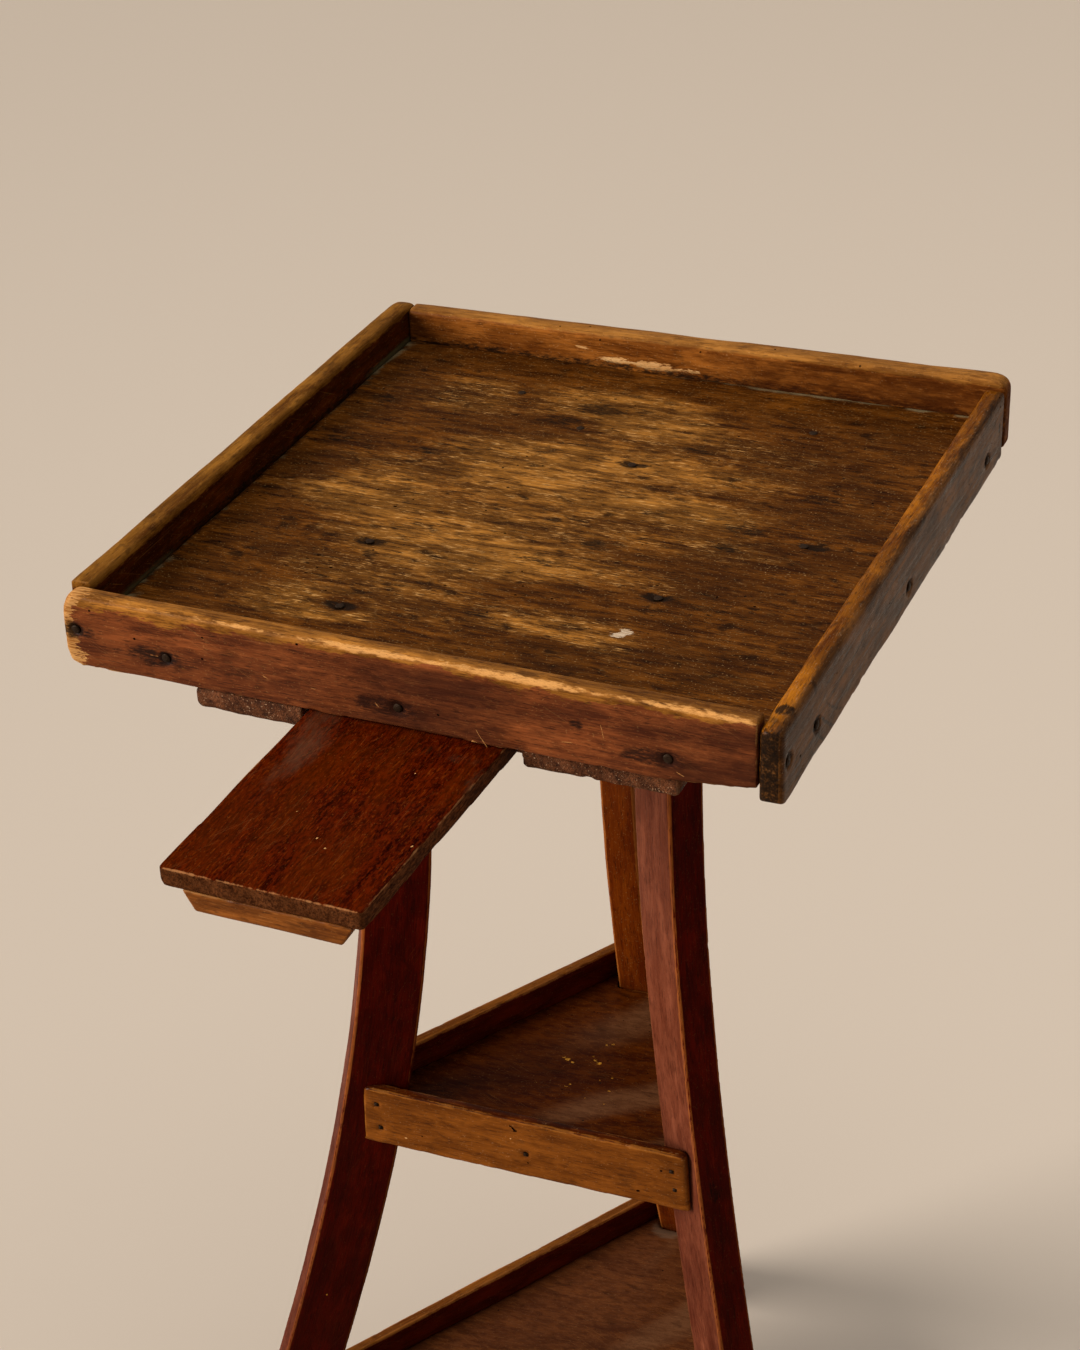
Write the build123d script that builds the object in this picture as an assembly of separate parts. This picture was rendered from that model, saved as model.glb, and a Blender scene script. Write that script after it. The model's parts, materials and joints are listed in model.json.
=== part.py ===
from build123d import *
from math import cos, radians, sin
import os

# A three-legged stand with a square tray top, a slide that draws out under the tray's front, and two
# triangular lower shelves. Millimetres, +Z up. It is laid out about the tray's centre with the floor at
# z = 0, and moved at the end so that the origin is the middle of its footprint.

# Tray: a thick floor with four gallery boards nailed round it
stand_height = 734.0
tray_width = 370.0
tray_depth = 386.0
gallery_height = 40.0
gallery_thickness = 12.0
back_thickness = 14.0
floor_thickness = 21.0
gallery_round = 3.0         # worn top edges
left_round = 2.0
right_drop = 2.5            # the boards were nailed on a little low or high
back_lift = 2.4
left_lift = 1.2
back_fall = 3.2             # the back board falls towards its left end
right_proud = 1.0           # the right board stands a little forward
worn_rise = 5.0             # the front board's lower edge is worn up at its right end
worn_share = 0.19

# Each board's top corner is worn away at its open end: how far along, and how far down
front_corner_run = 7.0
front_corner_drop = 18.0
right_corner_run = 5.0
right_corner_drop = 5.0
back_corner_run = 11.0
back_corner_drop = 9.0
left_corner_run = 16.0
left_corner_drop = 6.0
heel_run = 9.0              # the right board's lower front corner
heel_rise = 5.0

# Cleats under the floor; the outer two are the walls of the slide's channel
cleat_thickness = 11.5
cleat_round = 2.5
left_cleat_width = 59.0
right_cleat_width = 78.5
left_cleat_setback = 1.0
right_cleat_setback = 5.5
cleat_back_setback = 15.0
channel_width = 111.0
channel_centre = 0.5        # to the right of the tray's centre
rear_cleat_depth = 66.0
rear_cleat_lead = 25.0      # in front of the back leg's outer face

# Slide, as the photograph shows it drawn out
slide_length = 244.0
slide_front_width = 100.2
slide_back_width = 105.0
slide_front_offset = 4.1    # to the left of the tray's centre
slide_back_offset = 1.0     # to the right of it
slide_thickness = 10.3
slide_clearance = 0.6       # between the slide and what it runs between
slide_drawn = 138.6         # how far its front stands out of the tray's front
slide_corner = 2.5
slide_heel = 5.0            # the front edge's lower left corner
batten_height = 10.8
batten_depth = 13.0
batten_top_width = 84.5
batten_bottom_width = 72.5
batten_offset = 1.8         # to the left
batten_setback = 1.0
batten_round = 2.5
stop_width = 40.0
stop_depth = 12.0
stop_height = 9.0
stop_gap = 4.5              # from the stop to the front keeper at this position
keeper_height = 11.0
keeper_depth = 20.0
keeper_lap = 24.0           # on each cleat
front_keeper_setback = 33.0
rear_keeper_lead = 18.0     # in front of the back leg's inner face

# Legs: a rectangular section, swept outwards by a cubic from the top down to the floor
leg_width = 37.8
leg_thickness = 21.5
leg_run = 129.2
leg_run_shares = (-0.413, 1.884, -0.471)
leg_stations = 8
leg_chamfer = 1.2

# Where the legs stand in plan, at the middle rails: reach and bearing from the base's centre
base_left = 3.4             # of the tray's centre
base_forward = 10.0
left_reach = 134.8
left_bearing = 211.3
left_facing = 209.6
right_reach = 125.3
right_bearing = 332.4
right_facing = 320.7
back_reach = 128.3
back_bearing = 88.2
back_facing = 92.3

# Rails and shelves. A rail's outer face runs out at a share of the width of each leg that it laps,
# and its end stands at another share of that width.
middle_rail_top = 369.0
lower_rail_top = 115.0
rail_height = 39.7
rail_thickness = 8.0
rail_slant = 2.2
rail_corner = 4.0
rail_chamfer = 1.2
shelf_drop = 18.0           # from a rail's top down to the shelf
shelf_thickness = 12.0
notch_side = 0.3            # clearance beside a leg
notch_end = 1.0             # and at its inner edge
middle_lap_shares = {"front": (0.76, 0.94), "right": (0.80, 0.80), "left": (0.86, 0.70)}
middle_end_shares = {"front": (0.62, 0.73), "right": (0.70, 0.70), "left": (0.75, 0.60)}
lower_lap_shares = {"front": (0.80, 0.92), "right": (0.84, 0.84), "left": (0.86, 0.90)}
lower_end_shares = {"front": (0.66, 0.75), "right": (0.74, 0.74), "left": (0.76, 0.76)}

# Forged nails with square tapered shanks and low heads
nail_head = 5.5
nail_head_height = 1.5
nail_head_sink = 0.9
nail_shank = 2.4
head_taper = 40.0
shank_taper = 1.2
gallery_nail_length = 32.0
floor_nail_length = 30.0
leg_top_nail_length = 54.0
keeper_nail_length = 21.0
slide_nail_length = 18.0
stop_nail_length = 16.0
rail_nail_length = 20.0
leg_nail_length = 27.0
leg_nail_drop = 14.0
leg_nail_rise = 55.0        # degrees above level
leg_side_shares = {-1: 0.38, 1: 0.70}   # where a slanted nail enters each wide face, across the width

# Nails in each gallery board, as shares of its length from its open end and of its height
front_nail_shares = ((0.021, 0.52), (0.161, 0.35), (0.508, 0.28), (0.882, 0.30))
right_nail_shares = ((0.024, 0.52), (0.133, 0.39), (0.523, 0.29), (0.913, 0.33))
back_nail_shares = ((0.020, 0.55), (0.170, 0.33), (0.520, 0.28), (0.870, 0.32))
left_nail_shares = ((0.019, 0.48), (0.150, 0.32), (0.480, 0.27), (0.880, 0.34))

# Nails down through the tray's floor: into the outer cleats, as shares of each cleat's width and length from
# its front left corner, into the rear cleat the same way, and one longer one into the left leg's top
left_cleat_nail_shares = ((0.83, 0.173), (0.60, 0.87))
right_cleat_nail_shares = ((0.30, 0.323), (0.93, 0.525), (0.47, 0.87))
rear_cleat_nail_shares = ((0.622, 0.173), (0.23, 0.68))
left_leg_nail_shares = (0.55, 0.60)   # across the leg's width and thickness

# Nails in the rails: shares of the rail's length and height
rail_nail_shares = ((0.040, 0.72), (0.048, 0.30), (0.510, 0.40), (0.955, 0.68), (0.965, 0.36))

# Heights and places that follow
tray_bottom = stand_height - gallery_height
cleat_bottom = tray_bottom - cleat_thickness
leg_height = cleat_bottom
half_width = tray_width / 2
half_depth = tray_depth / 2
channel_left = channel_centre - channel_width / 2
channel_right = channel_centre + channel_width / 2
slide_front = -half_depth - slide_drawn
slide_back = slide_front + slide_length
slide_top = tray_bottom - slide_clearance
slide_bottom = slide_top - slide_thickness
front_keeper_y = -half_depth + front_keeper_setback

reaches = {"left": left_reach, "right": right_reach, "back": back_reach}
bearings = {"left": left_bearing, "right": right_bearing, "back": back_bearing}
facings = {"left": left_facing, "right": right_facing, "back": back_facing}

thicknesses = {"front": gallery_thickness, "right": gallery_thickness, "back": back_thickness,
               "left": gallery_thickness}
rounds = {"front": gallery_round, "right": gallery_round, "back": gallery_round, "left": left_round}
lifts = {"front": 0, "right": -right_drop, "back": back_lift, "left": left_lift}
falls = {"front": 0, "right": 0, "back": back_fall, "left": 0}
rises = {"front": worn_rise, "right": 0, "back": 0, "left": 0}
corners = {
    "front": (front_corner_run, front_corner_drop),
    "right": (right_corner_run, right_corner_drop),
    "back": (back_corner_run, back_corner_drop),
    "left": (left_corner_run, left_corner_drop),
}

# Each rail goes round from one leg to the next, seen from above anticlockwise
rail_legs = {"front": ("left", "right"), "right": ("right", "back"), "left": ("back", "left")}

parts = {}


def block(x_min, x_max, y_min, y_max, z_min, z_max):
    """A box between two corners."""
    size = (x_max - x_min, y_max - y_min, z_max - z_min)
    return Pos(x_min, y_min, z_min) * Box(*size, align=(Align.MIN, Align.MIN, Align.MIN))


def nail(length):
    """A nail driven along -Z, with its head's underside a little below z = 0."""
    head = extrude(Rectangle(nail_head, nail_head), nail_head_height, taper=head_taper)
    shank = extrude(Rectangle(nail_shank, nail_shank), length, taper=shank_taper)
    return Pos(0, 0, -nail_head_sink) * (head + Rot(180, 0, 0) * shank)


def nail_void(length):
    """The hole that a nail makes: its shank, and a pocket for its head."""
    pocket = extrude(Rectangle(nail_head, nail_head), nail_head_height)
    shank = extrude(Rectangle(nail_shank, nail_shank), length, taper=shank_taper)
    return Pos(0, 0, -nail_head_sink) * (pocket + Rot(180, 0, 0) * shank)


def drive(name, places, length, through):
    """Drives nails at the given places, and cuts their holes in the pieces that they pass through."""
    solids = []
    for place in places:
        solids += (place * nail(length)).solids()
        for piece in through:
            parts[piece] = parts[piece] - place * nail_void(length)
    parts[name] = parts.get(name, []) + solids


def gallery_board(name, length):
    """A gallery board from its open end, x along it, y up and z outwards, with worn edges and corners."""
    thickness = thicknesses[name]
    run, drop = corners[name]
    fall = falls[name]
    rise = rises[name]
    worn = length * (1 - worn_share)
    with BuildLine() as outline:
        if rise:
            Line((0, 0), (worn, 0))
            ThreePointArc((worn, 0), ((worn + length) / 2, rise / 4), (length, rise))
        else:
            Line((0, 0), (length, -fall))
        Line((length, rise - fall), (length, gallery_height - fall))
        top_slope = fall * run / length
        Line((length, gallery_height - fall), (run, gallery_height - top_slope))
        Bezier((run, gallery_height - top_slope), (0, gallery_height), (0, gallery_height - drop))
        Line((0, gallery_height - drop), (0, 0))
    board = extrude(make_face(outline.line.edges()), -thickness)
    top = board.edges().filter_by(lambda e: e.length > length / 2 and e.center().Y > gallery_height / 2)
    board = fillet(top, rounds[name])
    if name == "right":
        with BuildLine() as heel:
            Bezier((0, heel_rise), (0, 0), (heel_run, 0))
            Line((heel_run, 0), (0, 0))
            Line((0, 0), (0, heel_rise))
        board = board - extrude(make_face(heel.line.edges()), -thickness)
    return board


def gallery_planes():
    """Each board's open outer bottom corner, with x along the board and z outwards."""
    corner = {
        "front": (-half_width, -half_depth),
        "right": (half_width, -half_depth - right_proud),
        "back": (half_width, half_depth),
        "left": (-half_width, half_depth),
    }
    along = {"front": (1, 0, 0), "right": (0, 1, 0), "back": (-1, 0, 0), "left": (0, -1, 0)}
    outwards = {"front": (0, -1, 0), "right": (1, 0, 0), "back": (0, 1, 0), "left": (-1, 0, 0)}
    return {name: Plane((x, y, tray_bottom + lifts[name]), x_dir=along[name], z_dir=outwards[name])
            for name, (x, y) in corner.items()}


def gallery_lengths():
    """The boards go round as a pinwheel, each covering the end of the next."""
    return {
        "front": tray_width - gallery_thickness,
        "right": tray_depth + right_proud - back_thickness,
        "back": tray_width - gallery_thickness,
        "left": tray_depth - gallery_thickness,
    }


def make_tray():
    lengths = gallery_lengths()
    for name, plane in gallery_planes().items():
        parts[name + "_board"] = plane * gallery_board(name, lengths[name])
    parts["tray_floor"] = block(-half_width + gallery_thickness, half_width - gallery_thickness,
                                -half_depth + gallery_thickness, half_depth - back_thickness,
                                tray_bottom, tray_bottom + floor_thickness)


def rear_cleat_end():
    """The rear cleat reaches a little behind the back leg's top."""
    return face_point("back", 1, 1, leg_height).Y + rear_cleat_lead


def keeper_places():
    """Where each keeper's front edge lies."""
    rear = face_point("back", 1, 0, leg_height).Y - rear_keeper_lead - keeper_depth
    return {"front_keeper": front_keeper_y, "rear_keeper": rear}


def make_cleats():
    back = half_depth - cleat_back_setback
    left = block(channel_left - left_cleat_width, channel_left, -half_depth + left_cleat_setback, back,
                 cleat_bottom, tray_bottom)
    right = block(channel_right, channel_right + right_cleat_width, -half_depth + right_cleat_setback, back,
                  cleat_bottom, tray_bottom)
    for name, cleat in (("left_cleat", left), ("right_cleat", right)):
        long_edges = cleat.edges().filter_by(Axis.Y).group_by(Axis.Z)[0]
        parts[name] = fillet(long_edges, cleat_round)
    rear_end = rear_cleat_end()
    parts["rear_cleat"] = block(channel_left, channel_right, rear_end - rear_cleat_depth, rear_end,
                                cleat_bottom, tray_bottom)
    for name, y in keeper_places().items():
        parts[name] = block(channel_left - keeper_lap, channel_right + keeper_lap, y, y + keeper_depth,
                            cleat_bottom - keeper_height, cleat_bottom)


def slide_heel_cut(front_left):
    """What is worn off the slide's lower left edge, from its front to the tray."""
    with BuildLine() as outline:
        Bezier((0, slide_heel), (0, 0), (slide_heel, 0))
        Line((slide_heel, 0), (0, 0))
        Line((0, 0), (0, slide_heel))
    plane = Plane((front_left, slide_front, slide_bottom), x_dir=(1, 0, 0), z_dir=(0, -1, 0))
    return plane * extrude(make_face(outline.line.edges()), -slide_drawn)


def make_slide():
    front_left = -slide_front_offset - slide_front_width / 2
    front_right = -slide_front_offset + slide_front_width / 2
    back_left = slide_back_offset - slide_back_width / 2
    back_right = slide_back_offset + slide_back_width / 2
    outline = Polyline((front_left, slide_front), (front_right, slide_front), (back_right, slide_back),
                       (back_left, slide_back), close=True)
    board = Pos(0, 0, slide_bottom) * extrude(make_face(outline), slide_thickness)
    front_corners = board.edges().filter_by(Axis.Z).group_by(Axis.Y)[0]
    board = fillet(front_corners, slide_corner)
    parts["slide_board"] = board - slide_heel_cut(front_left)

    top = batten_top_width / 2
    bottom = batten_bottom_width / 2
    profile = Polyline((-top, 0), (top, 0), (bottom, -batten_height), (-bottom, -batten_height), close=True)
    face = make_face(profile)
    face = fillet(face.vertices().group_by(Axis.Y)[0], batten_round)
    batten_plane = Plane((-batten_offset, slide_front + batten_setback, slide_bottom), x_dir=(1, 0, 0), z_dir=(0, -1, 0))
    parts["slide_batten"] = batten_plane * extrude(face, -batten_depth)

    stop_y = front_keeper_y + keeper_depth + stop_gap
    parts["slide_stop"] = block(slide_back_offset - stop_width / 2, slide_back_offset + stop_width / 2,
                                stop_y, stop_y + stop_depth, slide_bottom - stop_height, slide_bottom)


def run_at(height):
    """How far out a leg's outer face has swept at a height."""
    depth = (leg_height - height) / leg_height
    return leg_run * sum(share * depth ** (n + 1) for n, share in enumerate(leg_run_shares))


seat_height = middle_rail_top - rail_height / 2
seat_run = run_at(seat_height)


def leg_plane(name):
    """The leg's own frame in plan: x outwards along its wide faces, from its outer face at the middle rails."""
    angle = radians(bearings[name])
    facing = radians(facings[name])
    origin = (reaches[name] * cos(angle) - base_left, reaches[name] * sin(angle) - base_forward, 0)
    return Plane(origin, x_dir=(cos(facing), sin(facing), 0), z_dir=(0, 0, 1))


def leg_solid(name, side_gap=0.0, end_gap=0.0):
    """A leg from the floor to the cleats, or the space that a shelf leaves round it."""
    heights = [leg_height * n / leg_stations for n in range(leg_stations + 1)]
    outer = [(run_at(z) - seat_run + end_gap, z) for z in heights]
    inner = [(run_at(z) - seat_run - leg_width - end_gap, z) for z in heights]
    outline = [Spline(*outer), Line(outer[-1], inner[-1]), Spline(*inner), Line(outer[0], inner[0])]
    thickness = leg_thickness + 2 * side_gap
    side = Plane((0, thickness / 2, 0), x_dir=(1, 0, 0), z_dir=(0, -1, 0))
    solid = side * extrude(make_face(outline), thickness)
    if not side_gap:
        arrises = solid.edges().filter_by(lambda e: e.length > leg_height / 2)
        solid = chamfer(arrises, leg_chamfer)
    return leg_plane(name) * solid


def face_point(name, side, share, height):
    """A point on a leg's wide face, at a share of its width from its inner edge."""
    outwards = run_at(height) - seat_run - leg_width * (1 - share)
    return leg_plane(name).from_local_coords(Vector(outwards, side * leg_thickness / 2, 0))


def rail_line(rail, laps, rail_top):
    """The line in plan along which a rail's outer face runs, from one leg's face to the next leg's."""
    first, second = rail_legs[rail]
    height = rail_top - rail_height / 2
    return face_point(first, 1, laps[0], height), face_point(second, -1, laps[1], height)


def rail_plane(rail, laps, rail_top):
    """x along the rail, y up from its lower edge, z outwards."""
    start, end = rail_line(rail, laps, rail_top)
    along = (end - start).normalized()
    outwards = along.cross(Vector(0, 0, 1))
    return Plane((start.X, start.Y, rail_top - rail_height), x_dir=along, z_dir=outwards)


def rail_span(rail, laps, ends, rail_top):
    """Where a rail's two ends stand along its own line."""
    plane = rail_plane(rail, laps, rail_top)
    first, second = rail_legs[rail]
    height = rail_top - rail_height / 2
    start = plane.to_local_coords(face_point(first, 1, ends[0], height)).X
    end = plane.to_local_coords(face_point(second, -1, ends[1], height)).X
    return start, end


def rail_solid(rail, laps, ends, rail_top):
    """A rail with slanted ends and eased top edges, its back bevelled to lie on both legs."""
    start, end = rail_span(rail, laps, ends, rail_top)
    outline = Polyline((start - rail_slant, 0), (end + rail_slant, 0), (end, rail_height), (start, rail_height),
                       close=True)
    face = make_face(outline)
    face = fillet(face.vertices().group_by(Axis.Y)[-1], rail_corner)
    board = extrude(face, -rail_thickness)
    top = board.edges().filter_by(Axis.X).group_by(Axis.Y)[-1]
    board = rail_plane(rail, laps, rail_top) * chamfer(top, rail_chamfer)
    for leg in rail_legs[rail]:
        board = board - leg_solid(leg)
    return board


def shelf_corner(first_line, second_line):
    """Where two lines in plan cross."""
    p, q = first_line
    r, s = second_line
    d = q - p
    e = s - r
    cross = d.X * e.Y - d.Y * e.X
    t = ((r.X - p.X) * e.Y - (r.Y - p.Y) * e.X) / cross
    return p.X + d.X * t, p.Y + d.Y * t


def shelf_solid(laps, rail_top):
    """A triangular board that fills the space inside three rails, notched round the legs."""
    inner_lines = []
    for rail in rail_legs:
        inwards = rail_plane(rail, laps[rail], rail_top).z_dir * -rail_thickness
        start, end = rail_line(rail, laps[rail], rail_top)
        inner_lines.append((start + inwards, end + inwards))
    corners = [shelf_corner(inner_lines[n - 1], inner_lines[n]) for n in range(len(inner_lines))]
    board = extrude(make_face(Polyline(*corners, close=True)), shelf_thickness)
    board = Pos(0, 0, rail_top - shelf_drop - shelf_thickness) * board
    for leg in bearings:
        board = board - leg_solid(leg, notch_side, notch_end)
    return board


def make_base():
    for leg in bearings:
        parts[leg + "_leg"] = leg_solid(leg)
    levels = (("middle", middle_lap_shares, middle_end_shares, middle_rail_top),
              ("lower", lower_lap_shares, lower_end_shares, lower_rail_top))
    for level, laps, ends, rail_top in levels:
        parts[level + "_shelf"] = shelf_solid(laps, rail_top)
        for rail in rail_legs:
            parts[level + "_" + rail + "_rail"] = rail_solid(rail, laps[rail], ends[rail], rail_top)


def nail_gallery():
    planes = gallery_planes()
    lengths = gallery_lengths()
    shares = {"front": front_nail_shares, "right": right_nail_shares, "back": back_nail_shares,
              "left": left_nail_shares}
    next_board = {"front": "left", "right": "front", "back": "right", "left": "back"}
    for name, plane in planes.items():
        places = [plane * Pos(along * lengths[name], up * gallery_height - along * falls[name], 0)
                  for along, up in shares[name]]
        board = name + "_board"
        drive("gallery_nails", places[:1], gallery_nail_length, [board, next_board[name] + "_board"])
        drive("gallery_nails", places[1:], gallery_nail_length, [board, "tray_floor"])


def nail_floor():
    top = tray_bottom + floor_thickness
    cleat_shares = {"left_cleat": left_cleat_nail_shares, "right_cleat": right_cleat_nail_shares,
                    "rear_cleat": rear_cleat_nail_shares}
    for cleat, shares in cleat_shares.items():
        box = parts[cleat].bounding_box()
        for across, back in shares:
            place = Pos(box.min.X + across * box.size.X, box.min.Y + back * box.size.Y, top)
            drive("floor_nails", [place], floor_nail_length, ["tray_floor", cleat])
    across, through = left_leg_nail_shares
    near = face_point("left", -1, across, leg_height)
    far = face_point("left", 1, across, leg_height)
    point = near + (far - near) * through
    pieces = ["tray_floor", "left_cleat", "left_leg"]
    drive("floor_nails", [Pos(point.X, point.Y, top)], leg_top_nail_length, pieces)


def nail_keepers():
    for keeper, y in keeper_places().items():
        for cleat, x in (("left_cleat", channel_left - keeper_lap / 2), ("right_cleat", channel_right + keeper_lap / 2)):
            under = Plane((x, y + keeper_depth / 2, cleat_bottom - keeper_height), x_dir=(1, 0, 0), z_dir=(0, 0, -1))
            drive("keeper_nails", [under * Pos(0, 0, 0)], keeper_nail_length, [keeper, cleat])


def nail_slide():
    batten_y = slide_front + batten_setback + batten_depth / 2
    for side in (-1, 1):
        x = -batten_offset + side * batten_bottom_width / 3
        under = Plane((x, batten_y, slide_bottom - batten_height), x_dir=(1, 0, 0), z_dir=(0, 0, -1))
        drive("slide_nails", [under * Pos(0, 0, 0)], slide_nail_length, ["slide_batten", "slide_board"])
        x = slide_back_offset + side * stop_width / 4
        y = front_keeper_y + keeper_depth + stop_gap + stop_depth / 2
        under = Plane((x, y, slide_bottom - stop_height), x_dir=(1, 0, 0), z_dir=(0, 0, -1))
        drive("slide_nails", [under * Pos(0, 0, 0)], stop_nail_length, ["slide_stop", "slide_board"])


def nail_legs():
    """A slanted nail up through each wide face of each leg's top, into the cleat above."""
    cleats = {"left": "left_cleat", "right": "right_cleat", "back": "rear_cleat"}
    z = leg_height - leg_nail_drop
    rise = radians(leg_nail_rise)
    for leg, cleat in cleats.items():
        for side, share in leg_side_shares.items():
            point = face_point(leg, side, share, z)
            plane = leg_plane(leg)
            out = plane.y_dir * side * cos(rise) + Vector(0, 0, -1) * sin(rise)
            place = Plane((point.X, point.Y, z), x_dir=plane.x_dir, z_dir=out) * Pos(0, 0, 0)
            drive("leg_nails", [place], leg_nail_length, [leg + "_leg", cleat])


def nail_rails():
    levels = (("middle", middle_lap_shares, middle_end_shares, middle_rail_top),
              ("lower", lower_lap_shares, lower_end_shares, lower_rail_top))
    for level, laps, ends, rail_top in levels:
        for rail, (first, second) in rail_legs.items():
            plane = rail_plane(rail, laps[rail], rail_top)
            start, end = rail_span(rail, laps[rail], ends[rail], rail_top)
            piece = level + "_" + rail + "_rail"
            for along, up in rail_nail_shares:
                place = plane * Pos(start + along * (end - start), up * rail_height, 0)
                through = [piece, level + "_shelf", first + "_leg", second + "_leg"]
                drive(level + "_rail_nails", [place], rail_nail_length, through)


def finish():
    """Moves the stand so that the origin is the middle of its footprint, and writes each piece."""
    groups = {}
    for name, piece in parts.items():
        groups[name] = list(piece) if isinstance(piece, list) else list(piece.solids())
    box = Compound([solid for group in groups.values() for solid in group]).bounding_box()
    to_origin = Pos(-box.center().X, -box.center().Y, 0)
    os.makedirs("parts", exist_ok=True)
    for name, group in groups.items():
        moved = [to_origin * solid for solid in group]
        shape = Compound(moved) if len(moved) > 1 else moved[0]
        shape.label = name
        export_step(shape, "parts/" + name + ".step")


make_tray()
make_cleats()
make_slide()
make_base()
nail_gallery()
nail_floor()
nail_keepers()
nail_slide()
nail_legs()
nail_rails()
finish()
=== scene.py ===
import json
import math

import bmesh
import bpy
import numpy as np
from mathutils import Matrix, Vector
from mathutils.bvhtree import BVHTree

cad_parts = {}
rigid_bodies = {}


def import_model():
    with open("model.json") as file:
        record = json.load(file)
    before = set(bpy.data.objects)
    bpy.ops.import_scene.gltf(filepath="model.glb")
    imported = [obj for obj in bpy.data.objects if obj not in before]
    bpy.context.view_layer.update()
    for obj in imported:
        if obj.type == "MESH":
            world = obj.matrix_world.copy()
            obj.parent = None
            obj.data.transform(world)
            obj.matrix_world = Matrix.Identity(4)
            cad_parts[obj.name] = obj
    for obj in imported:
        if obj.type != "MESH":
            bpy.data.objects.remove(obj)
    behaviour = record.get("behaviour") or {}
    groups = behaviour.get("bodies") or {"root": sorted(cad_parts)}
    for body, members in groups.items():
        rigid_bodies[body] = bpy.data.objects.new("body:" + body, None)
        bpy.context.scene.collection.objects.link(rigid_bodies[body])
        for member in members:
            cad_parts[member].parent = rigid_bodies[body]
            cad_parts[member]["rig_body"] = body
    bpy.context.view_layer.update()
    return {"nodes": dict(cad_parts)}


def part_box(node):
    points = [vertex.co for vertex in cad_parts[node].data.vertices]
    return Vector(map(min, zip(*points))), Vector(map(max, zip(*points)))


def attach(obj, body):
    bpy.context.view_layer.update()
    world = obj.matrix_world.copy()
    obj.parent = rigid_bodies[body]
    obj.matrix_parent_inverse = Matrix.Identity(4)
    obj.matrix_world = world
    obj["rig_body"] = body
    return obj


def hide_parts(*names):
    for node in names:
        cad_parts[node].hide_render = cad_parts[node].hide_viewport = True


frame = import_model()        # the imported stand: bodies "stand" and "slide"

nodes = frame["nodes"]
scene = bpy.context.scene
scene.view_settings.view_transform = "Standard"
roughSkin = 1.0      # coarser skins while trying things


# Small helpers; a socket knows the node tree that it is in

def put(tree, kind, inputs=None, **settings):
    node = tree.nodes.new(kind)
    for key, value in settings.items():
        setattr(node, key, value)
    for key, value in (inputs or {}).items():
        if isinstance(value, bpy.types.NodeSocket):
            tree.links.new(value, node.inputs[key])
        else:
            node.inputs[key].default_value = value
    return node


def treeOf(*values):
    return next(value.id_data for value in values if isinstance(value, bpy.types.NodeSocket))


def calc(operation, a, b=0.0, clamp=False):
    return put(treeOf(a, b), "ShaderNodeMath", {0: a, 1: b}, operation=operation, use_clamp=clamp).outputs[0]


def plus(total, *others, clamp=False):
    for other in others:
        total = calc("ADD", total, other, clamp)
    return total


def minus(a, b):
    return calc("SUBTRACT", a, b)


def times(a, b, clamp=False):
    return calc("MULTIPLY", a, b, clamp)


def move(operation, a, b):
    return put(treeOf(a, b), "ShaderNodeVectorMath", {0: a, 1: b}, operation=operation).outputs[0]


def ease(value, low, high, start=0.0, end=1.0):
    ends = {"Value": value, "From Min": low, "From Max": high, "To Min": start, "To Max": end}
    return put(treeOf(value), "ShaderNodeMapRange", ends, interpolation_type="SMOOTHSTEP").outputs[0]


def tint(factor, a, b):
    a, b = ((*colour, 1) if isinstance(colour, tuple) else colour for colour in (a, b))
    return put(treeOf(factor, a, b), "ShaderNodeMix", {0: factor, 6: a, 7: b}, data_type="RGBA").outputs[2]


def stretch(vector, sizes, offset=(0, 0, 0)):
    return move("ADD", move("MULTIPLY", vector, tuple(1 / size for size in sizes)), offset)


def clouds(vector, detail=3.0, roughness=0.55, warp=0.0):
    values = {"Vector": vector, "Scale": 1.0, "Detail": detail, "Roughness": roughness, "Distortion": warp}
    return put(treeOf(vector), "ShaderNodeTexNoise", values).outputs["Fac"]


def newGroup(name, kind, inputs, outputs):
    # a socket's value is its default, or the name of its kind when it has none
    tree = bpy.data.node_groups.new(name, kind)
    for way, sockets in (("INPUT", inputs), ("OUTPUT", outputs)):
        for label, value in sockets.items():
            bare = isinstance(value, str)
            kind = value if bare else type(value).__name__.capitalize()
            socket = tree.interface.new_socket(name=label, in_out=way, socket_type="NodeSocket" + kind)
            if not bare:
                socket.default_value = value
    return tree, tree.nodes.new("NodeGroupInput").outputs, tree.nodes.new("NodeGroupOutput").inputs


def newMaterial(name):
    material = bpy.data.materials.new(name)
    material.use_nodes = True
    return material, material.node_tree, material.node_tree.nodes["Principled BSDF"].inputs


def addObject(name, data):
    obj = bpy.data.objects.new(name, data)
    scene.collection.objects.link(obj)
    return obj


def camelName(node):
    first, *others = node.split("_")
    return first + "".join(word.capitalize() for word in others)


# Camera, lights and floor

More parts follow.
